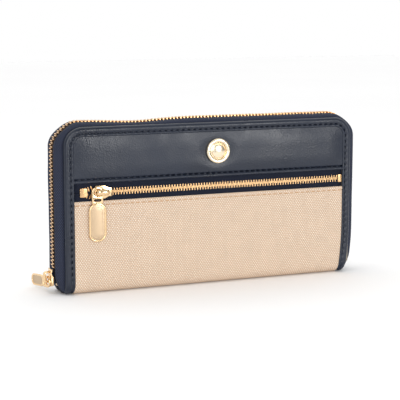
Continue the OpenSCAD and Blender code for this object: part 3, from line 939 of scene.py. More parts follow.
def fold_path(radius, top_z, centre_z, step):
    """Front half of the spine's outline, from a height down to its middle.

    Each point is (y, z, outward y, outward z).
    """
    points = []
    rises = max(2, int((top_z - centre_z) / step))
    for i in range(rises):
        z = top_z + (centre_z - top_z) * i / rises
        points.append((-(FLAT_Y + radius), z, -1.0, 0.0))
    turns = 12
    for i in range(turns + 1):
        a = math.pi / 2 * i / turns
        out_y, out_z = -math.cos(a), -math.sin(a)
        points.append((-FLAT_Y + radius * out_y, centre_z + radius * out_z, out_y, out_z))
    flats = 5
    for i in range(1, flats + 1):
        points.append((-FLAT_Y * (1 - i / flats), centre_z - radius, 0.0, -1.0))
    return points


# ---- canvas ----
def canvas_sheet(name, top, hem):
    """Canvas of one half: from its top edge down the cover and round to the middle of the spine."""
    half = HALF_W - BINDING_W + UNDER_BINDING
    path = [(-PANEL_Y, z, -1.0, 0.0) for z in np.linspace(top - 0.75, top - 4.4, 19)]
    path += fold_path(FOLD_R, top - 5.0, FOLD_R, 1.6)
    if hem:
        # the canvas is turned under along its top
        hem_r = 0.45
        lead = [(-PANEL_Y + 2 * hem_r, top, 0.0, 1.0)]
        for c, s in turn_steps(90, 0, 6):
            lead.append((-PANEL_Y + hem_r - hem_r * c, top - hem_r + hem_r * s, -c, s))
        path = lead + path
    arc = 0.0
    rows, uvs = [], []
    columns = 130
    last = path[0]
    for y, z, ny, nz in path:
        arc += math.hypot(y - last[0], z - last[1])
        last = (y, z)
        row, row_uv = [], []
        for x in np.linspace(-half, half, columns + 1):
            edge = min(1.0, (half - abs(x)) / 9.0)
            rise = held((z - 4.0) / 14.0) * held((top - z) / 9.0)
            puff = (0.28 + 0.2 * soft(x, z, size=70.0, seed=3.0)) * rise * edge
            if hem:
                below = top - z
                puff += 0.2 * hump(below - 1.0, 0.8) - 0.38 * hump(below - HEM_STITCH, 0.35)
            row.append((x, y + ny * puff, z + nz * puff))
            row_uv.append((x, arc))
        rows.append(row)
        uvs.append(row_uv)
    return sheet_shell(name, rows, 0.7, cotton_duck(), uvs)


class WALLET_OT_canvas(bpy.types.Operator):
    """Make the canvas of the front, the spine and the back"""

    bl_idname = "wallet.canvas"
    bl_label = "Canvas"

    def execute(self, context):
        front = canvas_sheet("front_canvas", CANVAS_TOP, True)
        bend_at_spine(front, "front_cover", "canvas", "front_canvas_panel", "spine_canvas")
        back = to_back(canvas_sheet("back_canvas_maker", BACK_SEAM + 1.0, False), "back_canvas")
        bend_at_spine(back, "back_cover", "canvas", "back_canvas_panel", "spine_canvas")
        shape = stitch_shape("hem_stitch", length=2.7, radius=0.2)
        across = np.linspace(-STITCH_HALF, STITCH_HALF, 60)
        path = [(x, -PANEL_Y + 0.14, CANVAS_TOP - HEM_STITCH) for x in across]
        spacing = sizes().stitch_spacing
        yarn = tan_thread()
        row = row_along("canvas_hem_stitches", path, spacing, shape, yarn, start=1.0, tilt=0.03, seed=5)
        place_on(row, "front_cover", "canvas")
        bpy.data.objects.remove(shape)
        return {"FINISHED"}


# ---- leather ----
def yoke_sheet(name, low, stud):
    """Leather yoke between its bottom edge and the top binding, a little padded."""
    half = HALF_W - BINDING_W + UNDER_BINDING
    high = COVER_H - BINDING_W + UNDER_BINDING
    # the lower edge is rolled under; each height has its depth below the yoke's face
    roll = 0.62
    levels = []
    for a in (-150, -120, -90, -65, -40, -15):
        turn = math.radians(a)
        levels.append((low + roll + roll * math.sin(turn), -roll + roll * math.cos(turn)))
    levels += [(z, 0.0) for z in np.linspace(low + 0.8, low + 4.6, 16)]
    levels += [(z, 0.0) for z in np.linspace(low + 5.2, high, 30)]
    rows = []
    columns = 190
    for z, drop in levels:
        row = []
        for x in np.linspace(-half, half, columns + 1):
            side = held((half - UNDER_BINDING - abs(x)) / 12.0)
            up = held((high - UNDER_BINDING - z) / 10.0)
            down = held((z - low - 2.4) / 9.0)
            crown = math.prod(math.sin(math.pi / 2 * part) for part in (side, up, down))
            slow = 0.34 * soft(x, z, size=42.0, seed=8.0) + 0.13 * soft(x, z * 0.6, size=17.0, seed=5.0)
            stitch = math.cos(2 * math.pi * x * MM / sizes().stitch_spacing)
            puff = 0.8 * crown + slow * side * up + 0.45 * hump(z - low - 1.05, 0.8)
            puff -= (0.68 + 0.36 * stitch) * hump(z - low - YOKE_STITCH, 0.55)
            # the pull can lie flat over the yoke's left part
            limit = 0.7 + 0.8 * held((x + 64.0) / 16.0)
            puff = limit * math.tanh(puff / limit)
            if stud:
                away = math.hypot(x - STUD_X, z - STUD_Z)
                puff -= 0.75 * crown * math.exp(-((away / (STUD_R + 2.5)) ** 4))
            row.append((x, -PANEL_Y - puff - drop, z))
        rows.append(row[::-1])
    return sheet_shell(name, rows, 0.75, navy_leather())


def binding_strip(name, material):
    """Leather binding of one cover, from the middle of the spine up, over and down again."""
    # each point of the section is (distance inside the edge, depth below the face)
    section = (
        (0.8, 3.2),
        (0.25, 3.0),
        (0.02, 2.5),
        (0.05, 1.8),
        (0.22, 1.15),
        (0.55, 0.62),
        (1.05, 0.24),
        (1.7, 0.05),
        (2.5, 0.0),
        (3.15, 0.1),
        (3.65, 0.36),
        (STITCH_INSET, GROOVE),
        (4.5, 0.36),
        (4.85, 0.12),
        (5.3, 0.05),
        (5.75, 0.18),
        (6.05, 0.5),
        (6.1, 0.85),
        (6.0, 1.0),
        (0.95, 1.15),
        (0.95, 3.2),
    )
    side = fold_path(FOLD_BINDING_R, CORNER_Z, FOLD_BINDING_R, 0.95)[::-1]
    stations = [(-HALF_W, y, z, -1.0, 0.0, ny, nz) for y, z, ny, nz in side]
    turns = 20
    for i in range(1, turns):
        a = math.pi - math.pi / 2 * i / turns
        out = (math.cos(a), math.sin(a))
        x, z = -CORNER_X + CORNER_R * out[0], CORNER_Z + CORNER_R * out[1]
        stations.append((x, -BINDING_Y, z, *out, -1.0, 0.0))
    spans = 180
    for i in range(spans + 1):
        x = -CORNER_X + 2 * CORNER_X * i / spans
        stations.append((x, -BINDING_Y, COVER_H, 0.0, 1.0, -1.0, 0.0))
    for x, y, z, ox, oz, ny, nz in stations[: turns + len(side) - 1][::-1]:
        stations.append((-x, y, z, -ox, oz, ny, nz))
    rings = []
    arc = 0.0
    last = None
    for x, y, z, ox, oz, ny, nz in stations:
        seam = (x - ox * STITCH_INSET, y, z - oz * STITCH_INSET)
        arc += math.dist(seam, last) if last else 0.0
        last = seam
        pucker = 0.36 * math.cos(2 * math.pi * arc * MM / sizes().stitch_spacing)
        wave = 0.09 * soft(x, z, size=14.0, seed=4.0)
        at_fold = held((FOLD_BINDING_R - z) / FOLD_BINDING_R)
        ring = []
        for inset, depth in section:
            if depth > 1.05:
                depth = 1.05 + (depth - 1.05) * (1 - 0.5 * at_fold)
            lift = wave * (1.0 if 0.5 < inset < 5.5 and depth < 0.5 and z > 1.0 else 0.0)
            near = hump(inset - STITCH_INSET, 0.75) if depth < 0.9 else 0.0
            depth = depth - lift + pucker * near
            ring.append((x - ox * inset, y - ny * depth, z - oz * inset - nz * depth))
        rings.append(ring)
    return loft(name, rings, material)


class WALLET_OT_leather(bpy.types.Operator):
    """Make the leather yokes and the bindings, with their stitching"""

    bl_idname = "wallet.leather"
    bl_label = "Leather yokes and bindings"

    def execute(self, context):
        front = yoke_sheet("front_leather_yoke", YOKE_BOTTOM, True)
        place_on(front, "front_cover", "navy_leather", "front_yoke")
        yoke = to_back(yoke_sheet("back_yoke_maker", BACK_YOKE_BOTTOM, False), "back_leather_yoke")
        place_on(yoke, "back_cover", "navy_leather", "back_yoke")
        strip = binding_strip("front_leather_binding", navy_leather())
        back = mirrored(strip, "back_leather_binding")
        ends = ("spine_binding_left", "spine_binding_right")
        bend_at_spine(strip, "front_cover", "navy_leather", "front_binding", *ends)
        bend_at_spine(back, "back_cover", "navy_leather", "back_binding", *ends)
        self.stitches()
        return {"FINISHED"}

    def stitches(self):
        shape = stitch_shape("leather_stitch", length=2.7, radius=0.4)
        spacing = sizes().stitch_spacing
        yarn = navy_thread()
        edge = [(x, -BINDING_Y + GROOVE - 0.12, z) for x, z in cover_edge(STITCH_INSET, 13.0)]
        name = "front_binding_stitches"
        front = row_along(name, edge, spacing, shape, yarn, start=0.5, tilt=0.04, seed=11)
        place_on(mirrored(front, "back_binding_stitches"), "back_cover", "navy_leather")
        place_on(front, "front_cover", "navy_leather")
        across = np.linspace(-STITCH_HALF, STITCH_HALF, 60)
        path = [(x, -PANEL_Y + 0.36, YOKE_BOTTOM + YOKE_STITCH) for x in across]
        row = row_along("yoke_stitches", path, spacing, shape, yarn, start=1.0, tilt=0.03, seed=12)
        place_on(row, "front_cover", "navy_leather")
        path = [(x, -PANEL_Y + 0.36, BACK_YOKE_BOTTOM + YOKE_STITCH) for x in across]
        name = "back_yoke_stitch_maker"
        maker = row_along(name, path, spacing, shape, yarn, start=1.0, tilt=0.03, seed=13)
        place_on(to_back(maker, "back_yoke_stitches"), "back_cover", "navy_leather")
        bpy.data.objects.remove(shape)


# ---- pocket zip ----
def pocket_tape(name, edge, far):
    """Half of the pocket zip's tape, with its corded edge beside the teeth."""
    direction = 1.0 if far > edge else -1.0
    cord = 0.55
    half_thick = 0.22
    corded = turn_steps(-90, 90, 7)
    section = [(edge + direction * (cord - cord * c), -POCKET_TAPE_Y - cord * s) for c, s in corded]
    flat = [edge + direction * (1.0 + (abs(far - edge) - 1.0) * t) for t in np.linspace(0, 1, 7)]
    section += [(z, -POCKET_TAPE_Y - half_thick) for z in flat]
    section += [(z, -POCKET_TAPE_Y + half_thick) for z in flat[::-1]]
    along = np.linspace(POCKET_LOW[0], POCKET_HIGH[0], 60)
    rings = [[(x, y, z) for z, y in section] for x in along]
    uvs = [[(x, z) for z, _ in section] for x in along]
    return loft(name, rings, zip_tape(), uvs)


class WALLET_OT_pocket_zip(bpy.types.Operator):
    """Make the front pocket zip: tapes, teeth and stops"""

    bl_idname = "wallet.pocket_zip"
    bl_label = "Pocket zip"

    def execute(self, context):
        lower = pocket_tape("pocket_tape_lower", POCKET_Z - 0.02, POCKET_LOW[2] + 0.4)
        place_on(lower, "front_cover", "zip_tape", "pocket_zip_tape_lower")
        upper = pocket_tape("pocket_tape_upper", POCKET_Z + 0.02, POCKET_UP_HIGH[2] - 0.4)
        place_on(upper, "front_cover", "zip_tape", "pocket_zip_tape_upper")
        self.teeth()
        self.stops()
        return {"FINISHED"}

    def teeth(self):
        """Closed behind the slider, and a few teeth standing open before it."""
        pitch = sizes().pocket_tooth_spacing
        shape = tooth_shape("pocket_tooth", False, past=0.8, reach=2.1, thick=0.76, deep=1.1)
        open_teeth = 4
        apart = 1.95
        y = -POCKET_TAPE_Y - 0.1
        slider_low, slider_high = node_box("pocket_slider_body")
        right = node_box("pocket_zip_bottom_stop")[0][0] - 0.8
        for name, sign in (("upper", 1), ("lower", -1)):
            closed = [(slider_high[0] - 1.5, y, POCKET_Z), (right, y, POCKET_Z)][::sign]
            row = row_along("closed_" + name, closed, pitch, shape, gold_teeth(), half_step=sign < 0)
            spread = []
            for k in range(open_teeth):
                x = slider_low[0] - 1.2 - k * apart - (0.9 if sign < 0 else 0.0)
                gap = 1.9 - 0.5 * k
                tooth = new_object("open_tooth", shape.data.copy())
                if sign < 0:
                    tooth.data.transform(Matrix.Diagonal((1, 1, -1, 1)))
                    tooth.data.flip_normals()
                lean = math.radians(sign * (-20 + 2 * k))
                tooth.data.transform(Matrix.Rotation(lean, 4, "Y"))
                tooth.data.transform(Matrix.Translation(Vector((x, y, POCKET_Z + sign * gap)) * MM))
                spread.append(tooth)
            made = join("pocket_teeth_" + name, [row, *spread])
            place_on(made, "front_cover", "zip_metal", "pocket_zip_teeth_" + name)
        bpy.data.objects.remove(shape)

    def stops(self):
        for node in ("pocket_zip_top_stop", "pocket_zip_bottom_stop"):
            low, high = node_box(node)
            middle = (low + high) / 2
            size = high - low
            outline = round_rect(0, 0, size[0], size[2], 0.6, 5)
            upright = facing_front(middle[0], low[1] + 0.35, middle[2])
            block = plate(node + "_clamp", [outline], 1.5, 0.3, upright, gold_teeth())
            place_on(block, "front_cover", "zip_metal", node)


# ---- sliders ----
def slider_outline(length, width, tail):
    """Outline of a slider plate along +X: wide mouth at the left, narrow tail at the right."""
    half = width / 2
    return [
        (-length / 2 + 0.9, -half),
        (length * 0.12, -half),
        (length * 0.34, -tail / 2),
        (length / 2, -tail / 2),
        (length / 2, tail / 2),
        (length * 0.34, tail / 2),
        (length * 0.12, half),
        (-length / 2 + 0.9, half),
        (-length / 2 + 0.2, half * 0.55),
        (-length / 2, 0.0),
        (-length / 2 + 0.2, -half * 0.55),
    ]


def slider_body(name, length, width, low, high, matrix):
    """Two plates and their side flanges. Local Z points away from the tape."""
    metal = gold_castings()
    tail = width * 0.68
    outline = slider_outline(length, width, tail)
    pieces = []
    outer, inner = 0.82, 0.5
    for label, lift, thick in (("outer", high - outer / 2, outer), ("inner", low + inner / 2, inner)):
        place = matrix @ Matrix.Translation((0, 0, lift * MM))
        pieces.append(plate(name + "_" + label, [outline], thick, 0.25, place, metal))
    # the flanges close the gap between the plates along both sides
    place = matrix @ Matrix.Translation((0, 0, (high - 1.1) * MM))
    for side in (-1, 1):
        strip = round_rect(-length * 0.14, side * (width / 2 - 0.36), length * 0.56, 0.72, 0.25, 4)
        pieces.append(plate(name + "_flange", [strip], 0.9, 0.15, place, metal))
        strip = round_rect(length * 0.41, side * (tail / 2 - 0.22), length * 0.16, 0.44, 0.2, 4)
        pieces.append(plate(name + "_tail_flange", [strip], 0.9, 0.15, place, metal))
    return join(name, pieces)


def slider_crown(name, from_x, to_x, base, rise, matrix, squash):
    """Bulging arch that holds the pull. It is thickest in the middle and rounded all over."""
    path, radii = [], []
    steps = 18
    foot = 0.3
    for i in range(steps + 1):
        a = math.pi * i / steps
        t = i / steps
        along = 0.5 - 0.5 * math.copysign(abs(math.cos(a)) ** 0.45, math.cos(a))
        z = base - foot
        if 0 < i < steps:
            z += (rise + foot) * math.sin(a) ** 0.45
        path.append((from_x + (to_x - from_x) * along, 0.0, z))
        radii.append(0.7 + 0.16 * math.sin(math.pi * t) + 0.12 * (1 - t))
    arch = rod(name, path, radii, squash, gold_castings())
    arch.data.transform(matrix)
    return arch


def pull_piece(name, tab_w, tab_l, corner, neck, thick, matrix):
    """One-piece pull: a ring for the crown, two short bars and an oblong tab with a raised rim."""
    ring_out, ring_in = 3.7, 2.25
    outline = circle_points(0, 0, ring_out, 22, 0.0, math.pi)
    outline += [(-ring_out + 0.1, -neck * 0.6), (-ring_out + 0.3, -neck - 0.6)]
    outline += [(ring_out - 0.3, -neck - 0.6), (ring_out - 0.1, -neck * 0.6)]
    gap = round_rect(0, -neck + 1.75, 4.4, 1.5, 0.6, 5)
    hole = circle_points(0, 0, ring_in, 28)

    def tab(less_w, less_l, radius, per_corner=9):
        middle = -neck - tab_l / 2
        return round_rect(0, middle, tab_w - less_w, tab_l - less_l, radius, per_corner)

    rim = [tab(0, 0, corner), tab(2.3, 2.3, corner - 1.15)]
    # a plain border line stands inside the rim
    border = [tab(4.2, 4.6, max(corner - 2.0, 0.6), 7), tab(5.0, 5.4, max(corner - 2.4, 0.4), 7)]
    plates = (
        # name, outlines, thickness, rounding of the edges, finish
        ("_loop", [outline, hole, gap], thick, 0.42, gold_castings()),
        ("_field", [tab(0.8, 0.8, corner - 0.4)], thick - 0.7, 0.1, satin_gold()),
        ("_rim", rim, thick, 0.4, gold_castings()),
        ("_border", border, thick - 0.5, 0.06, satin_gold()),
    )
    pieces = []
    for part, outlines, part_thick, bevel, metal in plates:
        pieces.append(plate(name + part, outlines, part_thick, bevel, matrix, metal))
    return join(name, pieces)


SLIDERS = (
    # name, how it is turned, how far the crown's ends stand inside its box, how wide the crown is
    ("pocket", Matrix.Rotation(math.radians(90), 4, "X"), (0.8, 0.6), 1.95),
    # this one's X runs up the zip, and its Z points away from the wallet to the left
    ("main", Matrix(((0, 0, -1, 0), (0, -1, 0, 0), (1, 0, 0, 0), (0, 0, 0, 1))), (0.8, 0.8), 1.95),
    ("coin", Matrix.Identity(4), (0.7, 0.7), 1.2),
)


def turned_box(node, turn):
    """Lowest and highest corners of a node as a turned slider sees them, in millimetres."""
    corners = np.array(node_box(node)) @ np.array(turn.to_3x3())
    return corners.min(axis=0), corners.max(axis=0)


class WALLET_OT_sliders(bpy.types.Operator):
    """Make the three zip sliders with their crowns"""

    bl_idname = "wallet.sliders"
    bl_label = "Sliders"

    def execute(self, context):
        for name, turn, insets, squash in SLIDERS:
            low, high = turned_box(name + "_slider_body", turn)
            crown_low, crown_high = turned_box(name + "_slider_crown", turn)
            middle = (low + high) / 2
            facing = turn @ Matrix.Translation((middle[0] * MM, middle[1] * MM, 0))
            length, width, _ = high - low
            body = slider_body(name + "_slider_plates", length, width, low[2], high[2], facing)
            place_on(body, name + "_slider", "pull_metal", name + "_slider_body")
            start = crown_low[0] - middle[0] + insets[0]
            end = crown_high[0] - middle[0] - insets[1]
            rise = crown_high[2] - high[2] - 0.75
            crown = slider_crown(name + "_slider_arch", start, end, high[2], rise, facing, squash)
            place_on(crown, name + "_slider", "pull_metal", name + "_slider_crown")
        return {"FINISHED"}


class WALLET_OT_pulls(bpy.types.Operator):
    """Make the three zip pulls"""

    bl_idname = "wallet.pulls"
    bl_label = "Pulls"

    def execute(self, context):
        low, high = node_box("pocket_pull")
        width = high[0] - low[0]
        thick = high[1] - low[1]
        ring_z = high[2] - 3.75
        length = 23.8
        neck = ring_z - low[2] - length
        facing = facing_front((low[0] + high[0]) / 2, low[1] + thick / 2, ring_z)
        pull = pull_piece("pocket_pull_tab", width, length, 5.0, neck, thick, facing)
        place_on(pull, "pocket_pull", "pull_metal", "pocket_pull")
        joints = {joint["name"]: joint for joint in frame["joints"]}
        at = Vector(joints["main_pull_swing"]["pos_m"])
        at.x = -(HALF_W + 8.0) * MM
        turned = Matrix.Translation(at) @ Matrix.Rotation(math.radians(-6), 4, "X")
        turned = turned @ Matrix.Rotation(math.radians(8.5), 4, "Z")
        turned = turned @ Matrix.Rotation(math.radians(90), 4, "Y") @ Matrix.Rotation(math.pi, 4, "Z")
        shape = {"tab_w": 7.4, "tab_l": 17.5, "corner": 3.5, "neck": 6.2, "thick": 1.2}
        main = pull_piece("main_pull_tab", matrix=turned, **shape)
        place_on(main, "main_pull", "pull_metal", "main_pull")
        self.coin()
        return {"FINISHED"}

    def coin(self):
        low, high = node_box("coin_pull")
        z = (low[2] + high[2]) / 2
        bar_x = low[0] + 0.55
        flat = Matrix.Translation(Vector((bar_x, 0, z)) * MM)
        half = high[1]
        outer = round_rect((high[0] - bar_x - 0.6) / 2, 0, high[0] - bar_x + 0.6, 2 * half, 1.2, 6)
        window = round_rect(2.6, 0, 4.0, 2 * half - 2.3, 0.5, 5)
        frame_plate = plate("coin_pull_tab", [outer, window], 1.0, 0.3, flat, gold_castings())
        place_on(frame_plate, "coin_pull", "pull_metal", "coin_pull")


# ---- stud ----
class WALLET_OT_stud(bpy.types.Operator):
    """Make the round stud on the yoke"""

    bl_idname = "wallet.stud"
    bl_label = "Stud"

    def execute(self, context):
        face = facing_front(STUD_X, -PANEL_Y, STUD_Z)
        rim_in = STUD_R * 0.68
        middle = (STUD_R + rim_in) / 2
        rim = [
            (STUD_R - 0.3, -0.2),
            (STUD_R, 0.1),
            (STUD_R, 1.25),
            (STUD_R - 0.15, 1.75),
            (STUD_R - 0.55, 2.15),
            (middle + 0.35, 2.33),
            (middle - 0.3, 2.33),
            (rim_in + 0.45, 2.18),
            (rim_in + 0.12, 1.9),
            (rim_in, 1.5),
            (rim_in, 0.6),
            (STUD_R - 1.2, -0.2),
            (STUD_R - 0.3, -0.2),
        ]
        ring = lathe("stud_raised_rim", rim, face, stud_plate())
        place_on(ring, "front_cover", "stud_metal", "stud_rim")
        dome = [(rim_in - 0.06, 0.2), (rim_in - 0.06, 1.05), (rim_in - 0.3, 1.25)]
        radius = 15.0
        cap = rim_in - 0.45

        def dome_height(r):
            return 1.3 + math.sqrt(radius**2 - r**2) - math.sqrt(radius**2 - cap**2)

        for t in np.linspace(1, 0.0, 12):
            dome.append((max(cap * t, 0.001), dome_height(cap * t)))
        centre = lathe("stud_domed_cap", dome, face, stud_plate())
        # a ring of darker gold runs round the cap: painted shade at the cap's edge
        shade_ring_r = rim_in - 1.0
        height = dome_height(shade_ring_r)
        shade_ring = [(shade_ring_r + 0.2, height - 0.1), (shade_ring_r + 0.12, height + 0.12), (shade_ring_r - 0.12, height + 0.14)]
        shade_ring += [(shade_ring_r - 0.2, height - 0.05), (shade_ring_r + 0.2, height - 0.1)]
        cap_piece = join("stud_cap_with_line", [centre, lathe("cap_line", shade_ring, face, gold_teeth())])
        place_on(cap_piece, "front_cover", "stud_metal", "stud_cap")
        return {"FINISHED"}


# ---- main zip ----
def zip_stations(low, step):
    """Points round the covers' edge with the outward direction and how far out the zip stands there."""
    path = cover_edge(0.0, low, step)
    stations = []
    for i, (x, z) in enumerate(path):
        before = path[max(i - 1, 0)]
        after = path[min(i + 1, len(path) - 1)]
        along = Vector((after[0] - before[0], after[1] - before[1])).normalized()
        out_x, out_z = -along.y, along.x
        rise = ZIP_OUT * (1 - out_z) + ZIP_TOP_OUT * out_z - 4 * ZIP_CORNER_DIP * (out_x * out_z) ** 2
        sag = 1.3 * hump(x + 50.0, 20.0)
        rise += (0.25 * soft(x, z, size=26.0, seed=9.0) - sag) * out_z
        stations.append((x, z, out_x, out_z, rise))
    return stations


def main_tape(name):
    """Half of the main zip's tape. It bulges out as the side wall and tapers in at the spine."""
    low = 0.9
    stations = zip_stations(low, 2.2)
    # each point of the section is (distance outside the edge, distance from the middle line)
    section = [(-5.5, FLANGE_Y), (-2.5, FLANGE_Y)]
    section += [(ZIP_OUT * c, FLANGE_Y - 4.0 + 4.0 * s) for c, s in turn_steps(90, 0, 11)]
    section += [(ZIP_OUT, y) for y in (4.2, 3.0, 1.6)]
    rows, uvs = [], []
    arc = 0.0
    last = stations[0]
    for x, z, ox, oz, rise in stations:
        arc += math.hypot(x - last[0], z - last[1])
        last = (x, z)
        tuck = math.sin(math.pi / 2 * held((z - low) / 11.0))
        row, row_uv = [], []
        across = 0.0
        previous = section[0]
        for n, y in section:
            across += math.hypot(n - previous[0], y - previous[1])
            previous = (n, y)
            out = n if n <= 0 else n * (0.12 + 0.88 * tuck) * rise / ZIP_OUT
            belly = 0.9 * hump(y - 6.6, 1.6) * abs(ox) if n > 0 else 0.0
            wave = 0.22 * soft(arc, y * 3, size=16.0, seed=6.0) * (1.0 if 1.0 < n and y > 4.4 else 0.0)
            wave = (wave + belly) * tuck
            depth = y
            if z < FOLD_R:
                room = FLAT_Y + math.sqrt(max(0.0, (FOLD_R - 1.7) ** 2 - (FOLD_R - z) ** 2)) + 1.1
                depth = min(y, room)
            shift = out + wave
            row.append((x + ox * shift, -depth, z + oz * shift))
            row_uv.append((arc, across))
        rows.append(row)
        uvs.append(row_uv)
    return sheet_shell(name, rows, 0.55, gusset_tape(), uvs)


class WALLET_OT_main_zip(bpy.types.Operator):
    """Make the zip that runs round the wallet: tapes, teeth and ends"""

    bl_idname = "wallet.main_zip"
    bl_label = "Main zip"

    def execute(self, context):
        tape = main_tape("front_gusset_tape")
        back = mirrored(tape, "back_gusset_tape")
        ends = ("main_zip_end_left", "main_zip_end_right")
        for piece, body, node in ((tape, "front_cover", "front"), (back, "back_cover", "back")):
            bend_at_spine(piece, body, "zip_tape", "main_zip_tape_" + node, *ends, low=5.0, high=17.0)
        self.teeth()
        return {"FINISHED"}

    def teeth(self):
        pitch = sizes().main_tooth_spacing
        shape = tooth_shape("main_tooth", True, past=0.7, reach=3.2, thick=0.82, deep=1.8)
        stations = zip_stations(TAPE_LOW[2] - 0.8, 1.0)
        path = [(x + ox * n, 0.0, z + oz * n) for x, z, ox, oz, n in stations]
        row = row_along("front_main_teeth", path, pitch, shape, gold_teeth())
        place_on(row, "front_cover", "zip_metal", "main_zip_teeth_front")
        maker = row_along("back_teeth_maker", path, pitch, shape, gold_teeth(), half_step=True)
        place_on(to_back(maker, "back_main_teeth"), "back_cover", "zip_metal", "main_zip_teeth_back")
        bpy.data.objects.remove(shape)


# ---- inside ----
def inner_lining(name):
    """Lining of one cover, which goes on into the spine."""
    inset = 1.0
    thick = 0.35
    inner_r = FOLD_R - 1.75
    # each row is (y, z, how far it reaches to each side)
    levels = []
    for c, s in turn_steps(90, 0, 8)[:-1]:
        z = CORNER_Z + (CORNER_R - inset) * s
        levels.append((LINING_Y - thick, z, CORNER_X + (CORNER_R - inset) * c))
    path = [(LINING_Y - thick, z) for z in np.linspace(CORNER_Z, 9.0, 30)]
    path += [(FLAT_Y + inner_r * c, FOLD_R - inner_r * s) for c, s in turn_steps(0, 90, 9)]
    path += [(FLAT_Y * t, FOLD_R - inner_r) for t in (0.75, 0.5, 0.25, 0.0)]
    levels += [(y, z, HALF_W - inset - (0.0 if z > FOLD_R else 0.8)) for y, z in path]
    rows = [[(x, -y, z) for x in np.linspace(reach, -reach, 61)] for y, z, reach in levels]
    return sheet_shell(name, rows, 0.3, cotton_lining())


def card_leaf_piece(name, node, index):
    """Two card slots side by side on one leaf: soft top edges with a turned hem and a centre seam."""
    low, high = node_box(node)
    half = high[0]
    rows = []
    columns = 80
    heights = [*np.linspace(low[2], high[2] - 2.4, 12), *np.linspace(high[2] - 2.0, high[2], 5)]
    for z in heights:
        row = []
        for x in np.linspace(-half, half, columns + 1):
            near_top = max(0.0, 1.0 - (high[2] - z) / 9.0)
            dip = 2.2 * near_top * hump(abs(x) - half / 2, 9.0) if index > 1 else 0.0
            seam = hump(x, 0.7) + hump(half - abs(x), 0.8)
            hem = 0.1 * hump(high[2] - z - 0.9, 0.7)
            row.append((x, high[1] + 0.06 + hem - 0.1 * min(1.0, seam), z - dip))
        rows.append(row)
    return sheet_shell(name, rows, 0.3, card_leather())


class WALLET_OT_inside(bpy.types.Operator):
    """Make the linings and the card slots"""

    bl_idname = "wallet.inside"
    bl_label = "Linings and card slots"

    def execute(self, context):
        front = inner_lining("front_inner_lining")
        back = mirrored(front, "back_inner_lining")
        bend_at_spine(front, "front_cover", "lining", "front_lining", low=3.0, high=12.0)
        bend_at_spine(back, "back_cover", "lining", "back_lining", low=3.0, high=12.0)
        shape = stitch_shape("card_stitch", length=2.0, radius=0.16)
        for index in (1, 2, 3):
            node = "front_card_leaf_%d" % index
            leaf = card_leaf_piece("front_card_slots_%d" % index, node, index)
            back_leaf = mirrored(leaf, "back_card_slots_%d" % index)
            place_on(leaf, "front_cover", "card_leather", node)
            place_on(back_leaf, "back_cover", "card_leather", "back_card_leaf_%d" % index)
            low, high = node_box(node)
            gap = 1.6
            y = high[1] + 0.08
            side, bottom, top = high[0] - gap, low[2] + gap, high[2] - gap
            path = [(x, y, bottom) for x in np.linspace(-side, side, 50)]
            if index == 1:
                path = [(-side, y, z) for z in np.linspace(top, bottom, 30)] + path
                path += [(side, y, z) for z in np.linspace(bottom, top, 30)]
            name = "front_card_stitches_%d" % index
            spacing = CARD_STITCH_SPACING
            row = row_along(name, path, spacing, shape, navy_thread(), start=0.5, tilt=0.04, seed=index)
            place_on(mirrored(row, "back_card_stitches_%d" % index), "back_cover", "card_leather")
            place_on(row, "front_cover", "card_leather")
        bpy.data.objects.remove(shape)
        return {"FINISHED"}


